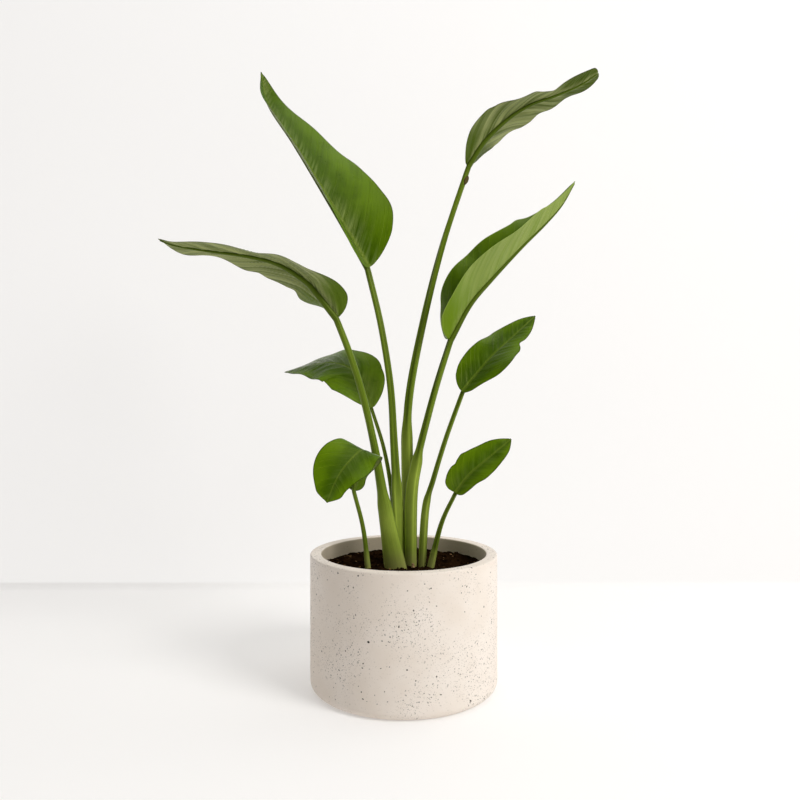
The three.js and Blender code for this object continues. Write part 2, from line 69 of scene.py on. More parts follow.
# Stalks and blades
STALK_SIDES = 40
STALK_ROWS = 96
MIDRIB_ROWS = 110
HALF_COLUMNS = 25
BASE_ROWS = 26
TIP_ROWS = 14
CHANNEL = 0.35
CHANNEL_WIDTH = 0.5
MIDRIB_CHANNEL = 0.5
MIDRIB_TIP = 0.8
RIB_TOP = 0.76
RIB_SINK = 0.1
GROOVE = 0.26
BLADE_THICK = 1
END_THIN = 0.004
BASE_ROUND = 0.07
TIP_ROUND = 0.03
LOBE_REACH = 0.12
LOBE_BEND = 1.2
LEAST_HALF = 1.2
ROW_INSET = 0.0004
STRIP_EXTRA = 0.4
FINE_PLEAT = 8.5
BROAD_PLEAT = 21
UPRIGHT_SHARE = 0.12
SHOULDER_SHARE = 0.032
STALK_FOOT = 146
LEFT = 0
RIGHT = 1
NUB_CENTRE = (83.2, -8, 673.5)
NUB_RADII = (3.4, 3.4, 6)

# Studio, lights and camera, in metres and watts
FLOOR_HALF = 3.0
WALL = 0.489
WALL_HEIGHT = 3.0
WALL_ROUND = 0.02
LENS = 32.6
SENSOR = 36
CAMERA_PLACE = (-0.005, -0.976, 0.38)
FLOOR_GREY = (0.68, 0.67, 0.66, 1)
WALL_GREY = (0.32, 0.315, 0.31, 1)
FLOOR_GLOW = 0.3
WALL_GLOW = 0.65
ROOM_AIR = (1, 0.99, 0.975, 1)
ROOM_LIGHT = 0.18
SEEN_AIR = (1, 0.99, 0.98, 1)
SEEN_LIGHT = 0.93

# Lamps: name, place, target, width, power, colour
LAMPS = [
    ("window_light", (1.9, -1.5, 1.9), (0, 0, 0.35), 1.3, 58, (1, 0.988, 0.97)),
    ("fill_light", (-1.8, -1.8, 1.3), (0, 0, 0.3), 2.0, 3, (1, 0.98, 0.965)),
    ("top_light", (0.2, -0.3, 2.4), (0, 0, 0), 1.8, 12, (1, 1, 1)),
]

# Leaf colours above: bright outside and deep inside, painted as light shining through the blade
# towards the margins, the deep one also painted shade towards the tip; margin; painted highlight
# streaks beside the midrib
UPPER = (0.096, 0.18, 0.001, 1)
DEEP = (0.036, 0.082, 0.0005, 1)
MARGIN = (0.015, 0.028, 0.001, 1)
PAINTED_HIGHLIGHT = (0.22, 0.28, 0.09, 1)
RIB_STRIP = (0.12, 0.18, 0.015, 1)

# Leaf colours below: pale bands, the shade between them, and fresh green ends
BELOW = (0.27, 0.32, 0.115, 1)
SHADE = (0.085, 0.135, 0.014, 1)
FRESH = (0.08, 0.145, 0.002, 1)
TIP_FRESH = (0.045, 0.08, 0.001, 1)
PLEAT_BELOW = (0.4, 0.44, 0.18, 1)
PLEAT_SHADE = (0.042, 0.075, 0.003, 1)
FOLD_BELOW = (0.27, 0.34, 0.085, 1)
FOLD_SHADE = (0.15, 0.23, 0.025, 1)
FOLD_FRESH = (0.13, 0.22, 0.006, 1)
FOLD_MARGIN = (0.28, 0.38, 0.08, 1)

# Stalk colours
GREEN = (0.072, 0.122, 0.003, 1)
PALE = (0.3, 0.39, 0.055, 1)
STEM_SHADE = (0.03, 0.055, 0.002, 1)
FOOT = (0.26, 0.24, 0.09, 1)
STREAK = (0.435, 0.5655, 0.07975, 1)
LIP = (0.45, 0.585, 0.0825, 1)

# Pot and soil colours
CLAY_DULL = (0.775, 0.69, 0.605, 1)
CLAY_PALE = (0.845, 0.775, 0.705, 1)
INSIDE_SHADE = (0.42, 0.35, 0.24, 1)
DUST_SPECK = (0.25, 0.2, 0.15, 1)
FINE_SPECK = (0.12, 0.1, 0.075, 1)
DARK_SPECK = (0.05, 0.04, 0.032, 1)
LARGE_SPECK = (0.02, 0.016, 0.013, 1)
SOIL_BLACK = (0.004, 0.002, 0.0008, 1)
SOIL_BROWN = (0.02, 0.009, 0.0035, 1)
BARK_TAN = (0.26, 0.15, 0.07, 1)

# Dry skin of the rootstock and scar on the nub, each from dark to pale
SKIN_TONES = [(0.13, 0.075, 0.03, 1), (0.3, 0.2, 0.09, 1), (0.42, 0.31, 0.15, 1)]
SCAR_TONES = [(0.03, 0.02, 0.006, 1), (0.08, 0.06, 0.015, 1), (0.13, 0.1, 0.03, 1)]

# The eight leaves. Lists are evenly spaced values from the leaf's foot to its tip.
#   stalk, wide, deep   centre line, half widths and half depths of the stalk
#   sheath              how far up the stalk its sheath reaches, and the width that it adds
#   open                direction that the stalk's channel looks at its foot
#   rib, face           centre line of the blade, and the direction of its upper side
#   half, fold          half widths left and right of the midrib, and their fold in degrees
#   sweep, lobe, wave   lean of the side veins, reach of the base lobes, waves of the margins
#   fine_rows           rows along the blade
#   pleat, bow          height of its pleats, and how far each half is bowed, as a share
#   lean                how far the fine side veins lean beyond the sweep
#   soften              rows over which the margins are evened out
#   nicks               bells added to a half width: which half, place, spread, height
LEAVES = [
  {
    "name": "top_left",
    "stalk": [
      [-4, 6, STALK_FOOT], [-8, 2, 235], [-13, 0, 320],
      [-18, 4, 400], [-31, 8, 482], [-51, 12, 560],
    ],
    "wide": [7.5, 6.6, 5, 4.5, 4.25],
    "deep": [5.5, 5.2, 4.8, 4.4, 4.2],
    "sheath": [0.3, 1.6],
    "open": [0.5, -0.85, 0],
    "rib": [
      [-47, 9, 560], [-72, 11, 604], [-113, 18, 673],
      [-152, 27, 737], [-189, 36, 794], [-200, 40, 840],
    ],
    "face": [[0.62, -0.72, 0.3], [0.62, -0.72, 0.3], [0.7, -0.65, 0.3]],
    "half": [
      [34, 66, 73, 71, 62, 49, 34, 20, 1],
      [32, 70, 77, 73, 62, 49, 34, 20, 1],
    ],
    "fold": [
      [36, 42, 45, 44, 44, 42, 40, 38, 45],
      [54, 36, 22, 13, 9, 8, 10, 18, 26],
    ],
    "sweep": 0.25,
    "lobe": [8, 8],
    "wave": [1.2, 3, 0.4],
    "fine_rows": 230,
    "pleat": 0.8,
    "bow": 0.02,
    "lean": 0.7,
    "soften": 0,
    "nicks": [[LEFT, 0.5, 0.03, 1.5], [RIGHT, 0.42, 0.05, 1.5]],
  },
  {
    "name": "left_arch",
    "stalk": [
      [-9, -13, STALK_FOOT], [-25, -16, 237], [-39, -16, 319],
      [-55, -18, 389], [-72, -22, 443], [-89, -26, 485],
    ],
    "wide": [14.5, 8.2, 5.2, 4.7, 4.3],
    "deep": [8, 6.5, 5, 4.6, 4.3],
    "sheath": [0.3, 2],
    "open": [0.3, 0.95, 0],
    "rib": [
      [-88, -22, 487], [-112, -31, 519], [-128, -38, 536], [-160, -50, 555],
      [-197, -62, 563], [-245, -74, 567], [-282, -84, 571], [-301, -90, 577],
    ],
    "face": [
      [0.1, 0.9, 0.3], [0.4, 0.65, 0.65], [0.42, 0.3, 0.85],
      [0.25, 0.15, 0.95], [0.15, 0.12, 0.97], [0.1, 0.15, 0.97],
    ],
    "half": [
      [26, 42, 48, 50, 46, 40, 31, 21, 1],
      [8, 50, 52, 54, 50, 42, 32, 22, 1],
    ],
    "fold": [
      [0, -15, -20, -16, -12, -2, -4, 1, 0],
      [100, 34, 13, -8, -5, -2, 0, -4, 0],
    ],
    "sweep": 0.2,
    "lobe": [6, 12],
    "wave": [3, 3, 0],
    "fine_rows": 230,
    "pleat": 2.2,
    "bow": 0.015,
    "lean": 1.1,
    "soften": 0,
    "nicks": [
      [RIGHT, 0.2, 0.03, -7], [RIGHT, 0.09, 0.03, 5], [RIGHT, 0.44, 0.04, -4],
      [LEFT, 0.3, 0.04, 3], [LEFT, 0.52, 0.04, -2],
    ],
  },
  {
    "name": "top_right",
    "stalk": [
      [10, 14, STALK_FOOT], [5, 12, 285], [7, 10, 380],
      [27, 6, 488], [54, 0, 595], [87, -8, 692],
    ],
    "wide": [7, 6.2, 5.4, 4.6, 3.85],
    "deep": [5.5, 5.5, 5, 4.5, 3.8],
    "sheath": [0.355, 2.6],
    "open": [-0.5, -0.85, 0],
    "rib": [
      [84, -7, 694], [106, -13, 725], [137, -19, 753], [166, -25, 769],
      [196, -29, 778], [228, -33, 790], [251, -40, 803],
    ],
    "face": [
      [-0.76, 0.3, 0.58], [-0.6, 0.42, 0.68], [-0.5, 0.3, 0.8],
      [-0.42, 0.3, 0.85], [-0.31, 0.4, 0.87],
    ],
    "half": [
      [16, 34, 38, 38, 34, 28, 21, 19, 9],
      [16, 34, 38, 35, 29, 24, 21, 19, 9],
    ],
    "fold": [
      [0, 8, 9, 4, -5, 0, 8, 4, 5],
      [0, 11, 2, -4, -15, -14, -8, 6, 5],
    ],
    "sweep": 0.25,
    "lobe": [4, 6],
    "wave": [2, 4, 0],
    "fine_rows": 210,
    "pleat": 1.5,
    "bow": 0.015,
    "lean": 1.0,
    "soften": 0,
    "nicks": [
      [LEFT, 0.2, 0.025, -2], [LEFT, 0.4, 0.03, 2], [RIGHT, 0.55, 0.03, 3],
      [RIGHT, 0.68, 0.04, -4], [RIGHT, 0.3, 0.03, -2],
    ],
  },
  {
    "name": "right_fold",
    "stalk": [
      [9.5, -1, STALK_FOOT], [10, -2, 246], [18, -2, 299],
      [33, -4, 360], [46, -4, 407], [62, -6, 459],
    ],
    "wide": [5.6, 6.4, 5.2, 4.6, 4.5],
    "deep": [5.5, 5.5, 5, 4.6, 4.4],
    "sheath": [0.5, 3],
    "open": [-0.5, -0.85, 0],
    "rib": [
      [59, -7, 461], [86, -5, 509], [117, -1, 545], [158, 5, 588],
      [192, 12, 621], [216, 16, 648], [235, 18, 680],
    ],
    "face": [[-0.7, -0.25, 0.6], [-0.7, -0.3, 0.6], [-0.75, -0.5, 0.5]],
    "half": [
      [26, 50, 58, 58, 50, 40, 28, 17, 1],
      [26, 50, 58, 58, 50, 40, 28, 17, 1],
    ],
    "fold": [
      [0, 26, 46, 38, 44, 40, 22, 16, 20],
      [68, 49, 48, 42, 42, 45, 51, 62, 58],
    ],
    "sweep": 0.2,
    "lobe": [10, 10],
    "wave": [1.5, 3, 0],
    "fine_rows": 210,
    "pleat": 0.9,
    "bow": 0.02,
    "lean": 0.6,
    "soften": 0,
    "nicks": [[LEFT, 0.12, 0.03, -3], [LEFT, 0.66, 0.03, 3], [RIGHT, 0.7, 0.05, 2]],
  },
  {
    "name": "right_mid",
    "stalk": [
      [24, -5, STALK_FOOT], [29, -8, 233], [40, -10, 276],
      [57, -14, 332], [77, -18, 391],
    ],
    "wide": [4, 4.4, 3.6, 3.2, 3],
    "deep": [3.8, 4, 3.5, 3.2, 3],
    "sheath": [0.42, 1.4],
    "open": [-0.5, -0.85, 0],
    "rib": [[77, -18, 391], [96, -15, 414], [119, -10, 440], [148, 3, 466], [180, 16, 495]],
    "face": [
      [-0.35, -0.85, 0.36], [-0.38, -0.78, 0.48], [-0.35, -0.64, 0.69],
      [-0.22, -0.72, 0.64], [-0.1, -0.85, 0.5],
    ],
    "half": [
      [15, 28, 33, 33, 32, 28, 20, 13, 1],
      [8, 18, 31, 36, 29, 22, 17, 10, 1],
    ],
    "fold": [
      [10, 10, 5, 0, 0],
      [10, 10, 5, 0, 0],
    ],
    "sweep": 0.3,
    "lobe": [4, 4],
    "wave": [1.2, 3, 0],
    "fine_rows": 150,
    "pleat": 0.5,
    "bow": 0.02,
    "lean": 0.6,
    "soften": 0,
    "nicks": [[RIGHT, 0.62, 0.04, -4], [RIGHT, 0.5, 0.05, 2], [LEFT, 0.6, 0.05, 1.5]],
  },
  {
    "name": "right_low",
    "stalk": [[33, -11, STALK_FOOT], [49, -20, 215], [67, -30, 259]],
    "wide": [5, 4.2, 3.4, 2.9, 2.7],
    "deep": [4.2, 3.8, 3.3, 2.9, 2.7],
    "sheath": [0.3, 0.4],
    "open": [-0.3, -0.95, 0],
    "rib": [[67, -30, 259], [85, -34, 283], [108, -34, 303], [140, -30, 329]],
    "face": [[-0.2, -0.9, 0.3], [-0.1, -0.9, 0.4], [0, -0.9, 0.4]],
    "half": [
      [15, 23, 25, 25, 23, 20, 16, 10, 1],
      [9, 14, 17, 21, 20, 18, 15, 10, 1],
    ],
    "fold": [
      [15, 15, 10],
      [15, 15, 10],
    ],
    "sweep": 0.2,
    "lobe": [10, 4],
    "wave": [1, 3, 0],
    "fine_rows": 110,
    "pleat": 0.3,
    "bow": 0.02,
    "lean": 0.6,
    "soften": 0,
    "nicks": [[LEFT, 0.25, 0.03, -1.5], [LEFT, 0.35, 0.04, 1.5]],
  },
  {
    "name": "left_low",
    "stalk": [[-46, -20, STALK_FOOT], [-53, -26, 210], [-65, -34, 262]],
    "wide": [4, 3.3, 3, 2.8, 2.7],
    "deep": [4, 3.3, 3, 2.8, 2.7],
    "sheath": [0.3, 0.3],
    "open": [0.3, 0.95, 0],
    "rib": [
      [-65, -34, 262], [-61, -28, 285], [-48, -36, 308], [-54, -54, 316],
      [-72, -74, 299], [-84, -85, 280], [-94, -94, 255],
    ],
    "face": [
      [0.1, 0.95, 0], [-0.1, 0.8, 0.5], [0.2, -0.5, 0.8],
      [-0.2, -0.85, 0.4], [-0.3, -0.9, 0.3],
    ],
    "half": [
      [13, 14, 18, 23, 28, 30, 25, 16, 1],
      [9, 14, 18, 24, 32, 38, 36, 24, 1],
    ],
    "fold": [
      [0, -15, -15, 0, 0],
      [0, 0, 10, 12, 10],
    ],
    "sweep": 0.1,
    "lobe": [2, 2],
    "wave": [1, 2, 0],
    "fine_rows": 150,
    "pleat": 0.2,
    "bow": 0.01,
    "lean": 0.5,
    "soften": 9,
    "nicks": [[LEFT, 0.93, 0.045, 5], [RIGHT, 0.94, 0.04, 4]],
  },
  {
    "name": "left_mid",
    "stalk": [[-6, 22, STALK_FOOT], [-15, 30, 241], [-27, 36, 310], [-44, 42, 369]],
    "wide": [4.6, 4.1, 3.2, 2.7, 2.5],
    "deep": [4.2, 3.9, 3.2, 2.7, 2.5],
    "sheath": [0.3, 0.4],
    "open": [0.3, -0.95, 0],
    "rib": [[-44, 42, 369], [-58, 46, 400], [-76, 52, 425], [-113, 66, 433], [-175, 90, 421]],
    "face": [
      [0.5, -0.8, 0.3], [0.25, -0.88, 0.4], [0.12, -0.65, 0.75],
      [-0.08, -0.45, 0.9], [-0.22, -0.2, 0.96],
    ],
    "half": [
      [14, 38, 46, 46, 43, 34, 23, 14, 1],
      [12, 36, 42, 41, 42, 36, 26, 15, 1],
    ],
    "fold": [
      [15, 8, 0, 0, 0, -8, -8, -6, 0],
      [0, 0, -3, -10, -5, -10, -8, -2, 0],
    ],
    "sweep": 0.3,
    "lobe": [4, 4],
    "wave": [1.2, 3, 0],
    "fine_rows": 150,
    "pleat": 0.7,
    "bow": 0.015,
    "lean": 0.7,
    "soften": 0,
    "nicks": [[LEFT, 0.5, 0.05, 2], [RIGHT, 0.55, 0.05, -2]],
  },
]


# Curves and fields

def ramp(values, t):
    """Smooth value at t (0 to 1) of evenly spaced values: a cubic through four neighbours,
    with the end values carried on in a straight line."""
    v = np.asarray(values, float)
    last = len(v) - 1
    place = np.clip(t, 0, 1) * last
    i = np.minimum(place.astype(int), last - 1)
    f = place - i
    if v.ndim == 2:
        f = f[..., None]
    long = np.concatenate([[2 * v[0] - v[1]], v, [2 * v[-1] - v[-2]]])
    a, b, c, d = long[i], long[i + 1], long[i + 2], long[i + 3]
    return b + 0.5 * f * (c - a + f * (2 * a - 5 * b + 4 * c - d + f * (3 * (b - c) + d - a)))


def smoothstep(low, high, x):
    """0 below low, 1 above high, and 3q^2 - 2q^3 of the share q between them."""
    q = np.clip((x - low) / (high - low), 0, 1)
    return q * q * (3 - 2 * q)


def unit(vectors):
    """Vectors scaled to length one."""
    return vectors / np.linalg.norm(vectors, axis=-1, keepdims=True)


def along(points, share):
    """Places and directions at shares of the length of the smooth curve through points."""
    fine = np.linspace(0, 1, 801)
    places = ramp(points, fine)
    steps = np.linalg.norm(np.diff(places, axis=0), axis=1)
    length = np.concatenate([[0], np.cumsum(steps)])
    t = np.interp(np.asarray(share) * length[-1], length, fine)
    ahead = ramp(points, np.minimum(t + 5e-4, 1))
    behind = ramp(points, np.maximum(t - 5e-4, 0))
    return ramp(points, t), unit(ahead - behind), length[-1]


def facing(directions, t, tangent):
    """Smooth direction at t of a list of them, made square to the tangent."""
    normal = ramp(directions, t)
    return unit(normal - (normal * tangent).sum(-1, keepdims=True) * tangent)


def value_noise(x, y, cell, seed):
    """Smooth uneven field from -1 to 1: random values on a square lattice of the given cell,
    joined by a smoothstep in both directions."""
    field = np.random.default_rng(seed).uniform(-1, 1, (64, 64))
    gx, gy = x / cell + 17.3, y / cell + 29.1
    i, j = np.floor(gx).astype(int), np.floor(gy).astype(int)
    u, v = smoothstep(0, 1, gx - i), smoothstep(0, 1, gy - j)
    near = field[i % 64, j % 64] * (1 - u) + field[(i + 1) % 64, j % 64] * u
    far = field[i % 64, (j + 1) % 64] * (1 - u) + field[(i + 1) % 64, (j + 1) % 64] * u
    return near * (1 - v) + far * v


# Meshes

def mesh_piece(name, points, faces, material, values=None, smooth=True, replaces=()):
    """Piece from points in millimetres, a list of arrays of faces, and values per point."""
    mesh = bpy.data.meshes.new(name)
    sizes = np.concatenate([np.full(len(f), f.shape[1]) for f in faces])
    corners = np.concatenate([f.ravel() for f in faces]).astype(np.int32)
    starts = np.concatenate([[0], np.cumsum(sizes)[:-1]]).astype(np.int32)
    mesh.vertices.add(len(points))
    mesh.vertices.foreach_set("co", (points * MM).astype(np.float32).ravel())
    mesh.loops.add(len(corners))
    mesh.loops.foreach_set("vertex_index", corners)
    mesh.polygons.add(len(sizes))
    mesh.polygons.foreach_set("loop_start", starts)
    mesh.polygons.foreach_set("use_smooth", np.full(len(sizes), smooth))
    for label, data in (values or {}).items():
        kind = "FLOAT_VECTOR" if data.ndim == 2 else "FLOAT"
        attribute = mesh.attributes.new(label, kind, "POINT")
        field = "vector" if data.ndim == 2 else "value"
        attribute.data.foreach_set(field, data.astype(np.float32).ravel())
    mesh.update(calc_edges=True)
    mesh.validate()
    mesh.materials.append(material)
    piece = bpy.data.objects.new(name, mesh)
    bpy.context.scene.collection.objects.link(piece)
    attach(piece, "root")
    if replaces:
        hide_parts(*replaces)
    return piece


def ring_faces(rings, around, flip=False):
    """Quads between neighbouring closed rings."""
    i = np.arange(rings - 1)[:, None] * around
    k = np.arange(around)[None, :]
    n = (k + 1) % around
    quads = np.stack([i + k, i + n, i + n + around, i + k + around], -1).reshape(-1, 4)
    return quads[:, ::-1] if flip else quads


def fan_faces(rim, hub, flip=False):
    """Triangles from a closed rim to a hub point."""
    fan = np.stack([rim, np.roll(rim, -1), np.full(len(rim), hub)], -1)
    return fan[:, ::-1] if flip else fan


def capped_faces(rings, around, flip=False):
    """Rings joined side to side, with a fan at each end to a hub point that follows the
    rings' own points."""
    ids = np.arange(around)
    return [
        ring_faces(rings, around, flip),
        fan_faces(ids, rings * around, not flip),
        fan_faces(ids + (rings - 1) * around, rings * around + 1, flip),
    ]


# Leaves

def midrib_half(leaf, s):
    """Half width of the midrib: from the stalk's last half width to the tip's."""
    return leaf["wide"][-1] + (MIDRIB_TIP - leaf["wide"][-1]) * s


def blade_frame(leaf, s):
    """Centre, direction, side and upper normal of a blade at s along its midrib."""
    centre, tangent, length = along(leaf["rib"], s)
    normal = facing(leaf["face"], s, tangent)
    return centre, tangent, np.cross(tangent, normal), normal, length


def end_round(s):
    """Share of the half width left at the blade's round ends: two quarter ellipses."""
    base = np.minimum(1, s / BASE_ROUND)
    tip = np.minimum(1, (1 - s) / TIP_ROUND)
    return np.sqrt(np.maximum(0, base * (2 - base) * tip * (2 - tip)))


def blade_rows(rows):
    """Places of the rows along a blade: even, and closer together at its round ends."""
    base = ROW_INSET + (BASE_ROUND - ROW_INSET) * np.linspace(0, 1, BASE_ROWS)[:-1] ** 2
    tip = 1 - ROW_INSET - (TIP_ROUND - ROW_INSET) * np.linspace(1, 0, TIP_ROWS)[1:] ** 2
    return np.concatenate([base, np.linspace(BASE_ROUND, 1 - TIP_ROUND, rows), tip])


def blade_middle(leaf, s, columns):
    """Grid of the blade's middle surface, rows by columns. The run is the distance from the
    midrib. Out to the flat strip's edge it goes sideways, and beyond it the half is folded up
    by its angle, with a soft bend between them. Waves grow with the square of the share
    across, and the half is bowed by half a sine. Each row leans towards the tip by the
    sweep, and the lobes reach back at the base. A side vein's source is the place along the
    midrib less the run times the veins' own lean, and the pleats are sines of the source.
    Nicks are bells added to a half width, and softening evens the rows near the margins."""
    centre, tangent, side, normal, length = blade_frame(leaf, s)
    share = np.abs(columns)[None, :]
    sign = np.sign(columns)[None, :]
    right = (columns > 0)[None, :]

    def pick(key):
        """Value of the left or right half at each row."""
        left, other = (ramp(v, s)[:, None] for v in leaf[key])
        return np.where(right, other, left)

    rounding = end_round(s)[:, None]
    wide = pick("half") + 0 * share
    for which, at, spread, height in leaf["nicks"]:
        bell = height * np.exp(-(((s - at) / spread) ** 2))[:, None]
        wide = wide + np.where(right == (which == RIGHT), bell, 0)
    full = np.maximum(LEAST_HALF, wide * rounding)
    half_rib = midrib_half(leaf, s)[:, None]
    flat = np.minimum(half_rib + STRIP_EXTRA, 0.5 * full)
    run = full * share
    soft = 0.5 * flat
    past = run - flat
    start = 0.5 * (np.sqrt(flat ** 2 + soft ** 2) - flat)
    out = 0.5 * (past + np.sqrt(past ** 2 + soft ** 2)) - start
    fold = np.radians(pick("fold"))
    height, count, phase = leaf["wave"]
    turn = 2 * np.pi * count * s[:, None] + phase + np.where(right, 1, 0)
    swell = np.sqrt(np.sin(np.pi * np.clip(s, 0, 1)))[:, None]
    wave = height * share ** 2 * np.sin(turn) * swell
    bow = leaf["bow"] * full * np.sin(np.pi * share) * swell * rounding
    source = s[:, None] * length - leaf["lean"] * run * (1 + 0.35 * share)
    fine = np.sin(2 * np.pi * source / FINE_PLEAT + 1.7 * np.sin(source / 31) + sign)
    broad = np.sin(2 * np.pi * source / BROAD_PLEAT + 2.1 * np.sin(source / 47) + 2 * sign)
    body = smoothstep(0.02, 0.16, share) * (1 - smoothstep(0.3, 0.97, share))
    pleat = leaf["pleat"] * body * (0.4 * fine + 0.6 * broad) * swell * rounding
    groove = -GROOVE * half_rib * np.exp(-(run / (0.55 * half_rib)) ** 2) * rounding
    across = (run - out) + out * np.cos(fold)
    lift = out * np.sin(fold) + wave + bow + pleat + groove
    lobe = np.where(right, leaf["lobe"][1], leaf["lobe"][0])
    back = lobe * (run / wide) ** LOBE_BEND * np.exp(-s[:, None] / LOBE_REACH)
    lean = leaf["sweep"] * run - back
    grid = centre[:, None] + (sign * across)[..., None] * side[:, None]
    grid = grid + lift[..., None] * normal[:, None] + lean[..., None] * tangent[:, None]
    facts = {
        "vein": source,
        "across": sign * run,
        "margin": full - run,
        "rib": run / flat,
        "share": share + 0 * run,
        "length": s[:, None] + 0 * run,
    }
    reach = leaf["soften"]
    if reach:
        bell = np.exp(-np.linspace(-2, 2, 2 * reach + 1) ** 2)
        long = np.pad(grid, ((reach, reach), (0, 0), (0, 0)), mode="edge")
        calm = sum(w * long[k:k + len(grid)] for k, w in enumerate(bell / bell.sum()))
        inner_rows = smoothstep(0.05, 0.2, s) * smoothstep(0, 0.15, 1 - s)
        inside = (share ** 2 * inner_rows[:, None])[..., None]
        grid = grid * (1 - inside) + calm * inside
    return grid, facts


def blade(leaf, material):
    """Closed thin sheet: the middle surface moved out both ways along its normal, by half a
    thickness that falls to nothing at the margins."""
    s = blade_rows(leaf["fine_rows"])
    half = 0.5 - 0.5 * np.cos(np.pi * np.linspace(0, 1, HALF_COLUMNS))
    columns = np.concatenate([-half[:0:-1], half])
    grid, facts = blade_middle(leaf, s, columns)
    normal = unit(np.cross(np.gradient(grid, axis=1), np.gradient(grid, axis=0)))
    thick = 0.5 * BLADE_THICK * (1 - np.abs(columns) ** 6) ** 0.5 * (1 - 0.4 * np.abs(columns))
    ends = np.minimum(1, np.minimum(s / END_THIN, (1 - s) / END_THIN))[:, None]
    offset = (thick[None, :] * ends)[..., None] * normal
    upper = grid + offset
    lower = (grid - offset)[:, -2:0:-1]
    rows, wide = grid.shape[:2]
    points = np.concatenate([upper, lower], 1)
    around = points.shape[1]
    below = np.concatenate([np.zeros(wide), np.ones(wide - 2)])
    below[[0, wide - 1]] = 0.5

    def both(field):
        """Field on the upper side and then, mirrored, on the lower one."""
        return np.concatenate([field, field[:, -2:0:-1]], 1).ravel()

    values = {
        "place": np.stack([both(facts[k]) * MM for k in ("vein", "across", "margin")], -1),
        "rib_share": both(facts["rib"]),
        "out_share": both(facts["share"]),
        "length_share": both(facts["length"]),
        "below": np.tile(below, rows),
    }
    faces = [ring_faces(rows, around)]
    j = np.arange(1, wide - 2)
    for start, flip in ((0, True), ((rows - 1) * around, False)):
        cap = start + np.stack([j, j + 1, around - j - 1, around - j], -1)
        first = start + np.array([[0, 1, around - 1]])
        final = start + np.array([[wide - 2, wide - 1, wide]])
        for part in (cap, first, final):
            faces.append(part[:, ::-1] if flip else part)
    name = "leaf_" + leaf["name"]
    return mesh_piece(name, points.reshape(-1, 3), faces, material, values,
                      replaces=("blade_" + leaf["name"],))


def stalk_ring(centre, side, normal, half_wide, half_deep, channel):
    """Oval rings: cosine across, sine up, with the upper side dented along its middle by a
    bell curve as deep as the channel."""
    angle = (np.arange(STALK_SIDES) / STALK_SIDES - 0.25) * 2 * np.pi
    across = np.cos(angle)[None]
    up = np.sin(angle)[None]
    bell = np.exp(-((across / CHANNEL_WIDTH) ** 2)) * smoothstep(0, 0.25, up)
    rise = up * (1 - channel[:, None] * bell)
    return (centre[:, None] + (across * half_wide[:, None])[..., None] * side[:, None]
            + (rise * half_deep[:, None])[..., None] * normal[:, None])


def rib_centre(leaf, s):
    """Middle of the midrib: its top sinks a little way into the blade's lower face."""
    centre, tangent, side, normal, length = blade_frame(leaf, s)
    drop = BLADE_THICK / 2 - RIB_SINK + RIB_TOP * midrib_half(leaf, s)
    return centre - drop[:, None] * normal, tangent, side, normal, length


def stalk(leaf, material):
    """Swept oval: up the stalk's centre line with its half widths, wider and almost without
    its channel within the sheath, then on under the blade as the midrib, which narrows to
    the tip."""
    t = np.linspace(0, 0.985, STALK_ROWS)
    end = rib_centre(leaf, np.zeros(1))[0][0]
    line = [*leaf["stalk"][:-1], list(end)]
    centre, tangent, length = along(line, t)
    lean = smoothstep(0, UPRIGHT_SHARE, t)[:, None]
    tangent = unit(np.array([0, 0, 1.0]) * (1 - lean) + tangent * lean)
    normal = facing([leaf["open"], leaf["open"], leaf["face"][0]], t, tangent)
    side = np.cross(tangent, normal)
    top, wing = leaf["sheath"]
    held = 1 - smoothstep(top - SHOULDER_SHARE, top + SHOULDER_SHARE, t)
    half_wide = ramp(leaf["wide"], t) + wing * held
    channel = CHANNEL + (MIDRIB_CHANNEL - CHANNEL) * smoothstep(0.8, 1, t)
    channel = channel * (1 - 0.9 * held)
    low = stalk_ring(centre, side, normal, half_wide, ramp(leaf["deep"], t), channel)
    s = np.linspace(0.003, 0.99, MIDRIB_ROWS)
    centre, tangent, side, normal, reach = rib_centre(leaf, s)
    half = midrib_half(leaf, s)
    high = stalk_ring(centre, side, normal, half, half, np.full(len(s), MIDRIB_CHANNEL))
    points = np.concatenate([low, high])
    rows, around = points.shape[:2]
    first = points[0].mean(0)
    last = points[-1].mean(0)
    height = np.concatenate([t * length, length + s * reach])
    turn = np.tile(np.arange(around) / around, rows)
    tint = 1 - smoothstep(top - 3 * SHOULDER_SHARE, top + 2 * SHOULDER_SHARE, t)
    sheath = np.concatenate([tint, 0 * s])
    share = np.concatenate([t, 1 + s])
    values = {
        "place": np.stack([np.repeat(height, around) * MM, turn, np.repeat(share, around)], -1),
        "sheath": np.repeat(sheath, around),
    }
    for key in values:
        tail = values[key][[0, -1]]
        values[key] = np.concatenate([values[key], tail])
    faces = capped_faces(rows, around, flip=True)
    points = np.concatenate([points.reshape(-1, 3), [first, last]])
    name = "stem_" + leaf["name"]
    return mesh_piece(name, points, faces, material, values,
                      replaces=("stalk_" + leaf["name"],))


# Pot and soil

def quarter(x, z, radius, start, end, steps):
    """Points of an arc about (x, z) from one angle to another in degrees."""
    angle = np.radians(np.linspace(start, end, steps))
    return np.stack([x + radius * np.cos(angle), z + radius * np.sin(angle)], -1)


def straight(a, b, steps):
    """Points between two points, without the ends."""
    share = np.linspace(0, 1, steps + 2)[1:-1, None]
    return np.array(a) * (1 - share) + np.array(b) * share


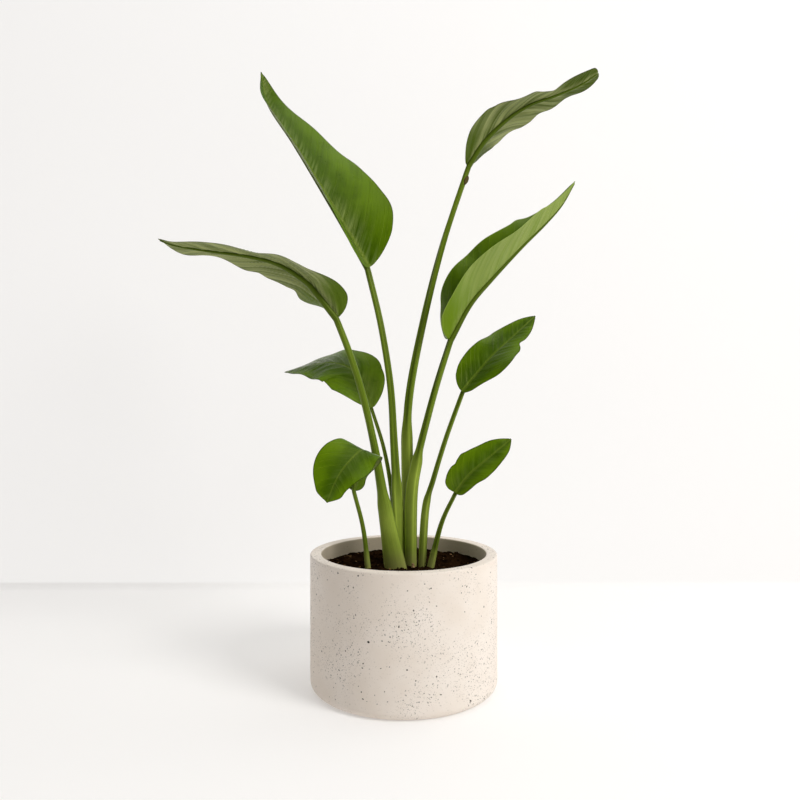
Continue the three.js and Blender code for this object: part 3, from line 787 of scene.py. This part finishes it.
def pot(material):
    """Turned body about Z: its profile carried round, with the wall pushed in and out by a
    tenth of a millimetre of uneven noise."""
    inner = POT_RADIUS - POT_WALL
    outer = POT_RADIUS
    rim = POT_HEIGHT - RIM_ROUND
    profile = np.concatenate([
        straight([0, 0], [outer - FOOT_ROUND, 0], 8),
        quarter(outer - FOOT_ROUND, FOOT_ROUND, FOOT_ROUND, -90, 0, 14),
        straight([outer, FOOT_ROUND], [outer, rim], 30),
        quarter(outer - RIM_ROUND, rim, RIM_ROUND, 0, 90, 8),
        straight([outer - RIM_ROUND, POT_HEIGHT], [inner + RIM_ROUND, POT_HEIGHT], 3),
        quarter(inner + RIM_ROUND, rim, RIM_ROUND, 90, 180, 8),
        straight([inner, rim], [inner, POT_FLOOR + INNER_ROUND], 12),
        quarter(inner - INNER_ROUND, POT_FLOOR + INNER_ROUND, INNER_ROUND, 0, -90, 8),
        straight([inner - INNER_ROUND, POT_FLOOR], [0, POT_FLOOR], 6),
    ])
    angle = np.arange(POT_SIDES) / POT_SIDES * 2 * np.pi
    radius, height = profile[:, :1], profile[:, 1:]
    uneven = WALL_UNEVEN * value_noise(angle[None] * 40, height + 0 * angle[None], 9, SEED)
    seam = 0.5 - 0.5 * np.cos(angle)[None]
    uneven = uneven * seam * smoothstep(60, 100, radius)
    points = np.stack([
        (radius + uneven) * np.cos(angle), (radius + uneven) * np.sin(angle),
        height + 0 * angle[None],
    ], -1)
    hubs = [[0, 0, 0], [0, 0, POT_FLOOR]]
    flat = np.concatenate([points.reshape(-1, 3), hubs])
    faces = capped_faces(len(profile), POT_SIDES)
    return mesh_piece("speckled_pot", flat, faces, material, replaces=("pot",))


def soil_height(x, y):
    """Level of the soil: the solid's broad waves, and lumps of three sizes from noise."""
    broad = np.sin(0.052 * x + 0.7) * np.sin(0.061 * y + 1.1)
    fine = np.sin(0.19 * x - 0.13 * y) * np.sin(0.11 * x + 0.21 * y + 0.5)
    lumps = 0.9 * value_noise(x, y, 7, SEED + 1) + 0.8 * value_noise(x, y, 3.2, SEED + 2)
    grit = 0.35 * value_noise(x, y, 1.5, SEED + 3)
    return SOIL_HEIGHT + 1.2 * broad + 1.1 * fine + lumps + grit


def soil(material):
    """Closed body: rings from the middle out to the wall at the soil's level, down the wall
    and back along the floor."""
    angle = np.arange(SOIL_SIDES) / SOIL_SIDES * 2 * np.pi
    radius = SOIL_RADIUS * np.linspace(0, 1, SOIL_RINGS + 1)[1:] ** 0.85
    x, y = radius[:, None] * np.cos(angle), radius[:, None] * np.sin(angle)
    top = np.stack([x, y, soil_height(x, y)], -1)
    floor = SOIL_FLOOR + INNER_ROUND
    under = np.concatenate([
        straight([SOIL_RADIUS, SOIL_HEIGHT - 3], [SOIL_RADIUS, floor], 3),
        quarter(SOIL_RADIUS - INNER_ROUND, floor, INNER_ROUND, 0, -90, 5),
    ])
    low = np.stack([under[:, :1] * np.cos(angle), under[:, :1] * np.sin(angle),
                    under[:, 1:] + 0 * angle[None]], -1)
    points = np.concatenate([top, low])
    zero = np.zeros(1)
    hubs = [[0, 0, soil_height(zero, zero)[0]], [0, 0, SOIL_FLOOR]]
    flat = np.concatenate([points.reshape(-1, 3), hubs])
    faces = capped_faces(len(points), SOIL_SIDES, flip=True)
    tone = np.full(len(flat), 0.25)
    return mesh_piece("potting_soil", flat, faces, material, {"tone": tone},
                      replaces=("soil",))


def grain_shape():
    """Corners and faces of a body with twenty even faces."""
    g = (1 + 5 ** 0.5) / 2
    corners = unit(np.array([
        [-1, g, 0], [1, g, 0], [-1, -g, 0], [1, -g, 0], [0, -1, g], [0, 1, g],
        [0, -1, -g], [0, 1, -g], [g, 0, -1], [g, 0, 1], [-g, 0, -1], [-g, 0, 1],
    ], float))
    faces = np.array([
        [0, 11, 5], [0, 5, 1], [0, 1, 7], [0, 7, 10], [0, 10, 11], [1, 5, 9], [5, 11, 4],
        [11, 10, 2], [10, 7, 6], [7, 1, 8], [3, 9, 4], [3, 4, 2], [3, 2, 6], [3, 6, 8],
        [3, 8, 9], [4, 9, 5], [2, 4, 11], [6, 2, 10], [8, 6, 7], [9, 8, 1],
    ])
    return corners, faces


def grains(name, count, seed, sizes, stretch, tones, material):
    """Loose grains on the soil: each an uneven twenty-faced body, stretched, turned by a
    random turn about Z after a random tilt, and sunk by a third of its height."""
    rng = np.random.default_rng(seed)
    corners, faces = grain_shape()
    radius = (SOIL_RADIUS - 3) * np.sqrt(rng.uniform(0, 1, count))
    angle = rng.uniform(0, 2 * np.pi, count)
    x, y = radius * np.cos(angle), radius * np.sin(angle)
    size = sizes[0] + (sizes[1] - sizes[0]) * rng.uniform(0, 1, count) ** 2.2
    shape = corners[None] * rng.uniform(0.72, 1.15, (count, 12, 1))
    shape = shape * np.stack([np.full(count, stretch) ** rng.uniform(0.3, 1, count),
                              np.ones(count), rng.uniform(0.45, 0.8, count)], -1)[:, None]
    tilt = rng.normal(0, 0.35, count)[:, None]
    turn = rng.uniform(0, 2 * np.pi, count)[:, None]
    long, wide, high = np.moveaxis(shape, -1, 0)
    leant = long * np.cos(tilt) - high * np.sin(tilt)
    raised = long * np.sin(tilt) + high * np.cos(tilt)
    turned_x = leant * np.cos(turn) - wide * np.sin(turn)
    turned_y = leant * np.sin(turn) + wide * np.cos(turn)
    local = np.stack([turned_x, turned_y, raised], -1) * size[:, None, None]
    middle = np.stack([x, y, soil_height(x, y) + 0.25 * size], -1)
    points = (middle[:, None] + local).reshape(-1, 3)
    all_faces = (faces[None] + 12 * np.arange(count)[:, None, None]).reshape(-1, 3)
    tone = np.repeat(rng.uniform(*tones, count), 12)
    return mesh_piece(name, points, [all_faces], material, {"tone": tone}, smooth=False)


def nub(name, centre, radii, material):
    """Small dry knob on a stalk: a globe with its three radii, roughened by noise, with both
    poles closed."""
    rise = np.linspace(-np.pi / 2, np.pi / 2, 26)[1:-1, None]
    turn = np.arange(36)[None] / 36 * 2 * np.pi
    lump = 1 + 0.16 * value_noise(turn * 4 + 0 * rise, rise * 5 + 0 * turn, 1.7, SEED + 9)
    lump = 1 + (lump - 1) * np.sin(turn / 2)
    shape = np.stack([np.cos(rise) * np.cos(turn) * lump, np.cos(rise) * np.sin(turn) * lump,
                      np.sin(rise) * lump], -1)
    points = np.concatenate([shape.reshape(-1, 3), [[0, 0, -1], [0, 0, 1]]])
    faces = capped_faces(*shape.shape[:2])
    slant = np.array([[1, 0, 0], [0, 1, 0], [0.33, 0, 1]])
    points = (points * np.array(radii)) @ slant + np.array(centre)
    return mesh_piece(name, points, faces, material)


# Materials

class Paint:
    """Small help for laying nodes in one material or group, which it empties first."""

    def __init__(self, tree):
        self.tree = tree
        self.tree.nodes.clear()

    def node(self, kind, values=None, **settings):
        """New node with its settings, and its inputs either linked or set."""
        node = self.tree.nodes.new(kind)
        for key, value in settings.items():
            setattr(node, key, value)
        for key, value in (values or {}).items():
            if isinstance(value, bpy.types.NodeSocket):
                self.tree.links.new(value, node.inputs[key])
            else:
                node.inputs[key].default_value = value
        return node

    def math(self, operation, a, b=0.0, c=0.0):
        """Result of one operation on numbers."""
        values = {0: a, 1: b, 2: c}
        return self.node("ShaderNodeMath", values, operation=operation).outputs[0]

    def ease(self, value, low, high, start=0.0, end=1.0):
        """Smoothstep of the value from low to high, put between start and end."""
        values = {"Value": value, "From Min": low, "From Max": high,
                  "To Min": start, "To Max": end}
        node = self.node("ShaderNodeMapRange", values, interpolation_type="SMOOTHSTEP")
        return node.outputs["Result"]

    def mix(self, share, a, b, blend="MIX"):
        """Colour between a and b."""
        node = self.node("ShaderNodeMix", data_type="RGBA", blend_type=blend)
        for socket, value in ((node.inputs[0], share), (node.inputs[6], a), (node.inputs[7], b)):
            if isinstance(value, bpy.types.NodeSocket):
                self.tree.links.new(value, socket)
            else:
                socket.default_value = value
        return node.outputs[2]

    def noise(self, vector, scale, detail=3.0, rough=0.5):
        """Soft random field around one half."""
        values = {"Vector": vector, "Scale": scale, "Detail": detail, "Roughness": rough}
        return self.node("ShaderNodeTexNoise", values).outputs[0]

    def attribute(self, name, output="Fac"):
        """Value that the mesh carries at each point."""
        return self.node("ShaderNodeAttribute", attribute_name=name).outputs[output]

    def link(self, source, target):
        """One link between two sockets."""
        self.tree.links.new(source, target)


def group_of(name, inputs, outputs):
    """Empty shader group with named sockets, and the paint to fill it."""
    tree = bpy.data.node_groups.new(name, "ShaderNodeTree")
    for label, kind, value in inputs:
        socket = tree.interface.new_socket(label, in_out="INPUT", socket_type=kind)
        if value is not None:
            socket.default_value = value
    for label, kind in outputs:
        tree.interface.new_socket(label, in_out="OUTPUT", socket_type=kind)
    paint = Paint(tree)
    return tree, paint, paint.node("NodeGroupInput"), paint.node("NodeGroupOutput")


def mottle_group():
    """Uneven tone from 0 to 1: broad patches and finer ones of half their strength."""
    tree, paint, given, result = group_of(
        "mottle",
        [("Vector", "NodeSocketVector", None), ("Patch", "NodeSocketFloat", 12.0)],
        [("Tone", "NodeSocketFloat")],
    )
    place = given.outputs["Vector"]
    broad = paint.noise(place, given.outputs["Patch"], 3.0)
    finer = paint.noise(place, paint.math("MULTIPLY", given.outputs["Patch"], 5.0), 4.0)
    both = paint.math("MULTIPLY_ADD", finer, 0.5, broad)
    paint.link(paint.ease(both, 0.5, 1.0), result.inputs["Tone"])
    return tree


def speck_group():
    """Round specks: where the nearest random point is closer than a radius that differs from
    point to point. The amount is the share of the points that carry a speck."""
    tree, paint, given, result = group_of(
        "specks",
        [("Vector", "NodeSocketVector", None), ("Scale", "NodeSocketFloat", 300.0),
         ("Size", "NodeSocketFloat", 0.2), ("Amount", "NodeSocketFloat", 0.5)],
        [("Mask", "NodeSocketFloat")],
    )
    values = {"Vector": given.outputs["Vector"], "Scale": given.outputs["Scale"]}
    cell = paint.node("ShaderNodeTexVoronoi", values, feature="F1")
    chance = paint.node("ShaderNodeSeparateColor", {"Color": cell.outputs["Color"]}).outputs
    present = paint.math("LESS_THAN", chance[0], given.outputs["Amount"])
    size = paint.math("MULTIPLY", given.outputs["Size"],
                      paint.math("MULTIPLY_ADD", chance[1], 0.8, 0.4))
    closeness = paint.math("SUBTRACT", 1.0, paint.math("DIVIDE", cell.outputs["Distance"], size))
    spot = paint.ease(closeness, 0.0, 0.3)
    paint.link(paint.math("MULTIPLY", spot, present), result.inputs["Mask"])
    return tree


def new_material(name):
    """Empty material and the paint to fill it."""
    material = bpy.data.materials.new(name)
    material.use_nodes = True
    return material, Paint(material.node_tree)


def shaded(paint, color, roughness, height=None, strength=1.0, distance=0.001, **constants):
    """Shader with a colour, a roughness and, where given, a bump height."""
    shader = paint.node("ShaderNodeBsdfPrincipled")
    for socket, value in (("Base Color", color), ("Roughness", roughness)):
        if isinstance(value, bpy.types.NodeSocket):
            paint.link(value, shader.inputs[socket])
        else:
            shader.inputs[socket].default_value = value
    for key, value in constants.items():
        shader.inputs[key.replace("_", " ")].default_value = value
    if height is not None:
        values = {"Strength": strength, "Distance": distance, "Height": height}
        bump = paint.node("ShaderNodeBump", values)
        paint.link(bump.outputs[0], shader.inputs["Normal"])
    paint.node("ShaderNodeOutputMaterial", {"Surface": shader.outputs[0]})
    return shader


def grouped(paint, tree, **values):
    """First output of a shared group, placed with its own values."""
    return paint.node("ShaderNodeGroup", values, node_tree=tree).outputs[0]


def vein_height(paint, place, spacing, width):
    """Thin lines at an even spacing along the place: 1 on a line, 0 between."""
    share = paint.math("FRACT", paint.math("DIVIDE", place, spacing))
    off = paint.math("ABSOLUTE", paint.math("SUBTRACT", share, 0.5))
    return paint.ease(off, width, 0.0)


def leaf_material(name, mottle, below=BELOW, shade=SHADE, fresh=FRESH, margin=MARGIN,
                  fresh_from=0.8, spacing=0.0095, lined=0.3, highlight_amount=0.3, tip_shade=0.4):
    """Glossy above and paler, duller below. The side veins and streaks follow the veins'
    sources, the colour above is deep along the middle and bright outside, as painted light
    shining through the blade, the midrib's strip is pale above, and the margin is a thin line of
    its own colour. Below, the base stays fresh green, and so does the end from a share of the
    length on. The lined share is how much the side veins show below, the highlight amount how
    strong the painted highlight streaks beside the midrib are above, and the tip shade how much
    painted shade deepens the colour towards the tip above."""
    material, paint = new_material(name)
    where = paint.attribute("place", "Vector")
    split = paint.node("ShaderNodeSeparateXYZ", {"Vector": where}).outputs
    rib = paint.attribute("rib_share")
    out = paint.attribute("out_share")
    under = paint.attribute("below")
    spot = paint.node("ShaderNodeTexCoord").outputs["Object"]
    tone = grouped(paint, mottle, Vector=spot, Patch=9.0)
    pulled = {"Vector": where, "Scale": (1, 0.1, 0)}
    drawn = paint.node("ShaderNodeMapping", pulled).outputs[0]
    streak = paint.noise(drawn, 150.0, 3.0, 0.6)
    source = paint.math("MULTIPLY_ADD", paint.noise(spot, 22.0, 2.0), 0.006, split[0])
    strong = vein_height(paint, source, spacing, 0.0008 / spacing)
    seldom = paint.ease(paint.noise(drawn, 55.0, 1.0), 0.42, 0.6)
    strong = paint.math("MULTIPLY", strong, seldom)
    fine = vein_height(paint, source, 0.0017, 0.35)
    away = paint.ease(rib, 0.9, 3.0)
    edge = paint.ease(split[2], 0.0016, 0.0004)
    strip = paint.ease(rib, 1.0, 0.55)
    # Painted light through the blade: the upper colour brightens towards the margins, with the
    # random tone and streaks added.
    bright = paint.math("MULTIPLY_ADD", paint.ease(out, 0.15, 0.95), 0.6,
                        paint.math("MULTIPLY_ADD", tone, 0.55, -0.1))
    bright = paint.math("MULTIPLY_ADD", paint.math("SUBTRACT", streak, 0.5), 0.5, bright)
    face = paint.mix(paint.ease(bright, 0.0, 1.0), DEEP, UPPER)
    length = paint.attribute("length_share")
    # Painted shade: the upper colour turns deeper towards the tip.
    face = paint.mix(paint.ease(length, 0.4, 1.0, 0.0, tip_shade), face, DEEP)
    paler = paint.mix(1.0, face, (1.6, 1.4, 2.5, 1), "MULTIPLY")
    lines = paint.math("MULTIPLY_ADD", strong, 0.75, paint.math("MULTIPLY", fine, 0.08))
    face = paint.mix(paint.math("MULTIPLY", lines, away), face, paler)
    # Painted highlight: pale streaks beside the midrib on the upper side.
    highlight_streaks = paint.math("MULTIPLY", paint.ease(rib, 7.0, 1.3), paint.ease(streak, 0.4, 0.65))
    face = paint.mix(paint.math("MULTIPLY", highlight_streaks, highlight_amount), face, PAINTED_HIGHLIGHT)
    face = paint.mix(paint.math("MULTIPLY", strip, 0.6), face, RIB_STRIP)
    bands = paint.math("ADD", paint.ease(streak, 0.32, 0.68),
                       paint.ease(paint.noise(drawn, 60.0, 2.0), 0.4, 0.62))
    bands = paint.math("MULTIPLY_ADD", bands, 0.4, paint.math("MULTIPLY", tone, 0.2))
    back = paint.mix(bands, shade, below)
    ends = paint.math("MAXIMUM", paint.ease(length, 0.27, 0.1),
                      paint.ease(length, fresh_from, fresh_from + 0.13))
    ends = paint.math("MULTIPLY", ends, paint.ease(out, 0.05, 0.45))
    back = paint.mix(paint.math("MULTIPLY", ends, 0.9), back, fresh)
    lines = paint.math("MULTIPLY_ADD", strong, lined, paint.math("MULTIPLY", fine, 0.08))
    light = paint.mix(1.0, back, (1.5, 1.4, 1.7, 1), "MULTIPLY")
    back = paint.mix(paint.math("MULTIPLY", lines, away), back, light)
    both = paint.mix(paint.ease(under, 0.45, 0.55), face, back)
    color = paint.mix(paint.math("MULTIPLY", edge, 0.75), both, margin)
    rough = paint.math("MULTIPLY_ADD", tone, 0.16,
                       paint.math("MULTIPLY_ADD", under, 0.2, 0.22))
    height = paint.math("MULTIPLY_ADD", strong, 0.5, paint.math("MULTIPLY", fine, 0.12))
    height = paint.math("MULTIPLY_ADD", streak, 0.6, height)
    height = paint.math("MULTIPLY_ADD", paint.noise(spot, 900.0, 2.0), 0.05, height)
    shaded(paint, color, rough, height, 0.8, 0.001, Specular_IOR_Level=0.2,
           Specular_Tint=(1, 1, 0.3, 1))
    return material


def stem_material(mottle):
    """Smooth stalks: pale within the sheath, greener above it, brownish at the soil, with
    streaks that run along the stalk, painted shade in the channel, a pale line on each lip of
    the channel, painted shade as a dark line on each edge of the sheath, and painted shade that
    darkens the top of the stalk and the midrib."""
    material, paint = new_material("stem_green")
    where = paint.attribute("place", "Vector")
    split = paint.node("ShaderNodeSeparateXYZ", {"Vector": where}).outputs
    sheath = paint.attribute("sheath")
    spot = paint.node("ShaderNodeTexCoord").outputs["Object"]
    tone = grouped(paint, mottle, Vector=spot, Patch=14.0)
    turn = paint.math("MULTIPLY", split[1], 2 * np.pi)
    around = paint.math("SINE", turn)
    across = paint.math("COSINE", turn)
    wrapped = {axis: paint.math("MULTIPLY", value, 9.0)
               for axis, value in (("X", around), ("Y", across), ("Z", split[0]))}
    streaks = paint.node("ShaderNodeCombineXYZ", wrapped).outputs[0]
    streak = paint.noise(streaks, 1.6, 4.0)
    body = paint.mix(paint.math("MULTIPLY", sheath, 0.85), GREEN, PALE)
    body = paint.mix(paint.ease(streak, 0.35, 0.7, 0.0, 0.35), body, STREAK)
    body = paint.mix(paint.math("MULTIPLY", tone, 0.3), body, GREEN)
    rise = paint.math("MULTIPLY", across, -1.0)
    side = paint.math("ABSOLUTE", around)
    # Painted shade in the channel, weaker within the sheath.
    groove = paint.math("MULTIPLY", paint.ease(rise, 0.3, 0.8), paint.ease(side, 0.5, 0.2))
    open_part = paint.math("SUBTRACT", 1.0, paint.math("MULTIPLY", sheath, 0.7))
    body = paint.mix(paint.math("MULTIPLY", groove, paint.math("MULTIPLY", open_part, 0.6)),
                     body, STEM_SHADE)
    lip = paint.math("MULTIPLY", paint.ease(side, 0.5, 0.62), paint.ease(side, 0.78, 0.66))
    lip = paint.math("MULTIPLY", paint.math("MULTIPLY", lip, paint.ease(rise, 0.2, 0.5)), sheath)
    body = paint.mix(paint.math("MULTIPLY", lip, 0.7), body, LIP)
    # Painted shade: a dark line on each edge of the sheath.
    rim = paint.math("MULTIPLY", paint.ease(side, 0.97, 0.995), sheath)
    body = paint.mix(paint.math("MULTIPLY", rim, 0.5), body, STEM_SHADE)
    # Painted shade: the top of the stalk and the midrib turn darker.
    under = paint.ease(split[2], 0.93, 1.03, 0.0, 0.55)
    body = paint.mix(under, body, STEM_SHADE)
    level = paint.node("ShaderNodeSeparateXYZ", {"Vector": spot}).outputs[2]
    low = paint.ease(level, 0.19, 0.158)
    color = paint.mix(paint.math("MULTIPLY", low, 0.6), body, FOOT)
    rough = paint.math("MULTIPLY_ADD", streak, 0.2, 0.28)
    height = paint.math("MULTIPLY_ADD", streak, 0.6, paint.math("MULTIPLY", tone, 0.3))
    shaded(paint, color, rough, height, 0.4, 0.0006, Specular_IOR_Level=0.2,
           Specular_Tint=(1, 1, 0.4, 1))
    return material


def pot_material(mottle, specks):
    """Sandy fired clay: a warm off-white with faint patches, fine grey specks that gather in
    places, a few dark ones, small pits, and painted shade on the inside of the pot. The specks
    lie on coordinates that a soft noise moves a little, so that they keep no rows."""
    material, paint = new_material("speckled_clay")
    spot = paint.node("ShaderNodeTexCoord").outputs["Object"]
    tone = grouped(paint, mottle, Vector=spot, Patch=7.0)
    cloud = paint.ease(paint.noise(spot, 14.0, 2.0), 0.38, 0.66)
    drift = paint.node("ShaderNodeTexNoise", {"Vector": spot, "Scale": 30.0}).outputs["Color"]
    moved = paint.node("ShaderNodeVectorMath", {0: drift, 1: (0.02, 0.02, 0.02), 2: spot},
                       operation="MULTIPLY_ADD").outputs["Vector"]
    turned = {"Vector": moved, "Rotation": (0.6, 0.4, 0.9)}
    place = paint.node("ShaderNodeMapping", turned).outputs[0]
    dust = grouped(paint, specks, Vector=place, Scale=640.0, Size=0.42, Amount=0.6)
    fine = grouped(paint, specks, Vector=place, Scale=380.0, Size=0.34, Amount=0.5)
    dark = grouped(paint, specks, Vector=place, Scale=150.0, Size=0.16, Amount=0.5)
    large = grouped(paint, specks, Vector=place, Scale=85.0, Size=0.1, Amount=0.5)
    clay = paint.mix(tone, CLAY_DULL, CLAY_PALE)
    dusty = paint.math("MULTIPLY", dust, paint.math("MULTIPLY", cloud, 0.45))
    clay = paint.mix(dusty, clay, DUST_SPECK)
    grey = paint.math("MULTIPLY", fine, paint.math("MULTIPLY_ADD", cloud, 0.7, 0.1))
    clay = paint.mix(grey, clay, FINE_SPECK)
    clay = paint.mix(paint.math("MULTIPLY", dark, 0.9), clay, DARK_SPECK)
    clay = paint.mix(large, clay, LARGE_SPECK)
    pits = paint.math("MAXIMUM", dark, large)
    flat = paint.node("ShaderNodeVectorMath", {0: spot, 1: (1, 1, 0)}, operation="MULTIPLY")
    out = paint.node("ShaderNodeVectorMath", {0: flat.outputs[0]}, operation="LENGTH")
    # Painted shade on the inside of the pot.
    bore = (POT_RADIUS - POT_WALL) * MM
    inside = paint.ease(out.outputs["Value"], bore + 0.001, bore + 0.0002, 0.0, 0.8)
    clay = paint.mix(inside, clay, INSIDE_SHADE)
    rough = paint.math("MULTIPLY_ADD", tone, 0.12, 0.62)
    grain = paint.noise(spot, 700.0, 3.0)
    height = paint.math("MULTIPLY_ADD", grain, 0.25, paint.math("MULTIPLY", pits, -1.0))
    shaded(paint, clay, rough, height, 0.35, 0.0006, Specular_IOR_Level=0.3)
    return material


def soil_material(mottle):
    """Damp potting soil: near black with brown patches; a grain's own tone makes it paler."""
    material, paint = new_material("dark_soil")
    spot = paint.node("ShaderNodeTexCoord").outputs["Object"]
    own = paint.attribute("tone")
    tone = grouped(paint, mottle, Vector=spot, Patch=60.0)
    dark = paint.mix(tone, SOIL_BLACK, SOIL_BROWN)
    color = paint.mix(paint.ease(own, 0.3, 1.0), dark, BARK_TAN)
    grain = paint.noise(spot, 800.0, 4.0)
    rough = paint.math("MULTIPLY_ADD", grain, 0.3, 0.65)
    shaded(paint, color, rough, grain, 0.8, 0.001, Specular_IOR_Level=0.0)
    return material


def fibre_material(name, mottle, dull, pale, straw):
    """Dry brown skin with fine upright fibres."""
    material, paint = new_material(name)
    spot = paint.node("ShaderNodeTexCoord").outputs["Object"]
    tone = grouped(paint, mottle, Vector=spot, Patch=40.0)
    pulled = {"Vector": spot, "Scale": (1, 1, 0.12)}
    drawn = paint.node("ShaderNodeMapping", pulled).outputs[0]
    fibre = paint.noise(drawn, 900.0, 4.0)
    color = paint.mix(tone, dull, pale)
    color = paint.mix(paint.ease(fibre, 0.4, 0.7, 0.0, 0.6), color, straw)
    shaded(paint, color, 0.8, fibre, 0.7, 0.0006, Specular_IOR_Level=0.2)
    return material


def studio_material(name, color, glow):
    """Matt white with a faint glow of its own, as a lit backdrop has, seen from its front
    alone."""
    material, paint = new_material(name)
    front = shaded(paint, color, 0.95, Specular_IOR_Level=0.05,
                   Emission_Color=(1, 0.985, 0.97, 1), Emission_Strength=glow)
    clear = paint.node("ShaderNodeBsdfTransparent")
    turned = paint.node("ShaderNodeNewGeometry").outputs["Backfacing"]
    seen = paint.node("ShaderNodeMixShader", {0: turned})
    paint.link(front.outputs[0], seen.inputs[1])
    paint.link(clear.outputs[0], seen.inputs[2])
    output = material.node_tree.nodes["Material Output"]
    paint.link(seen.outputs[0], output.inputs["Surface"])
    return material


# The plant

mottle = mottle_group()
specks = speck_group()

leaf_glossy = leaf_material("leaf_glossy", mottle, highlight_amount=0.12, tip_shade=0.0)
LEAF_LOOKS = {
    "top_left": leaf_material("leaf_broad", mottle, highlight_amount=0.45, tip_shade=0.75),
    "left_arch": leaf_material("leaf_pleated", mottle, PLEAT_BELOW, PLEAT_SHADE,
                               fresh_from=1.1, spacing=0.008, lined=0.5),
    "top_right": leaf_material("leaf_curled", mottle, PLEAT_BELOW, PLEAT_SHADE, TIP_FRESH,
                               fresh_from=0.66, spacing=0.008, lined=0.5),
    "right_fold": leaf_material("leaf_folded", mottle, FOLD_BELOW, FOLD_SHADE, FOLD_FRESH,
                                FOLD_MARGIN, fresh_from=0.9, spacing=0.0165, lined=0.9),
}
stem_green = stem_material(mottle)
clay = pot_material(mottle, specks)
earth = soil_material(mottle)
skin = fibre_material("dry_skin", mottle, *SKIN_TONES)
scar = fibre_material("dry_scar", mottle, *SCAR_TONES)

pot(clay)
soil(earth)
grains("soil_crumbs", CRUMBS, SEED + 5, (0.5, 2.2), 1.2, (0.0, 0.42), earth)
grains("bark_chips", CHIPS, SEED + 6, (0.8, 2.0), 3.0, (0.45, 0.95), earth)
for leaf in LEAVES:
    blade(leaf, LEAF_LOOKS.get(leaf["name"], leaf_glossy))
    stalk(leaf, stem_green)
nub("stalk_nub", NUB_CENTRE, NUB_RADII, scar)
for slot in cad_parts["rootstock"].material_slots:
    slot.material = skin


# The studio

def backdrop():
    """Flat floor that turns up into a flat wall behind the pot in a small round."""
    angle = np.radians(np.linspace(-90, 0, 8))
    bend = np.stack([np.cos(angle), 1 + np.sin(angle)], -1) * WALL_ROUND
    bend[:, 0] += WALL - WALL_ROUND
    line = np.concatenate([[[-FLOOR_HALF, 0]], bend, [[WALL, WALL_HEIGHT]]])
    points = np.concatenate([
        np.stack([np.full(len(line), x), line[:, 0], line[:, 1]], -1)
        for x in (-FLOOR_HALF, FLOOR_HALF)
    ])
    k = np.arange(len(line) - 1)
    faces = np.stack([k, k + len(line), k + len(line) + 1, k + 1], -1)
    mesh = bpy.data.meshes.new("studio")
    mesh.from_pydata(points.tolist(), [], faces.tolist())
    mesh.materials.append(studio_material("studio_floor", FLOOR_GREY, FLOOR_GLOW))
    mesh.materials.append(studio_material("studio_wall", WALL_GREY, WALL_GLOW))
    mesh.polygons.foreach_set("material_index", (k > len(line) // 2).astype(int))
    piece = bpy.data.objects.new("studio", mesh)
    bpy.context.scene.collection.objects.link(piece)


def soft_light(name, place, target, size, power, color):
    """Round area light at a place, turned to face a target."""
    data = bpy.data.lights.new(name, "AREA")
    data.shape = "DISK"
    data.size = size
    data.energy = power
    data.color = color
    lamp = bpy.data.objects.new(name, data)
    lamp.location = place
    aim = Vector(target) - Vector(place)
    lamp.rotation_euler = aim.to_track_quat("-Z", "Y").to_euler()
    bpy.context.scene.collection.objects.link(lamp)


backdrop()
for lamp_values in LAMPS:
    soft_light(*lamp_values)

world = bpy.data.worlds.new("room")
bpy.context.scene.world = world
world.use_nodes = True
air = Paint(world.node_tree)
soft = air.node("ShaderNodeBackground", {"Color": ROOM_AIR, "Strength": ROOM_LIGHT})
open_air = air.node("ShaderNodeBackground", {"Color": SEEN_AIR, "Strength": SEEN_LIGHT})
direct = air.node("ShaderNodeLightPath").outputs["Is Camera Ray"]
sky = air.node("ShaderNodeMixShader", {0: direct})
air.link(soft.outputs[0], sky.inputs[1])
air.link(open_air.outputs[0], sky.inputs[2])
air.node("ShaderNodeOutputWorld", {"Surface": sky.outputs[0]})
bpy.context.scene.view_settings.view_transform = "Standard"

camera = bpy.data.cameras.new("camera")
camera.lens = LENS
camera.sensor_width = SENSOR
viewer = bpy.data.objects.new("camera", camera)
viewer.location = CAMERA_PLACE
viewer.rotation_euler = (np.pi / 2, 0, 0)
bpy.context.scene.collection.objects.link(viewer)
bpy.context.scene.camera = viewer

bpy.context.view_layer.update()
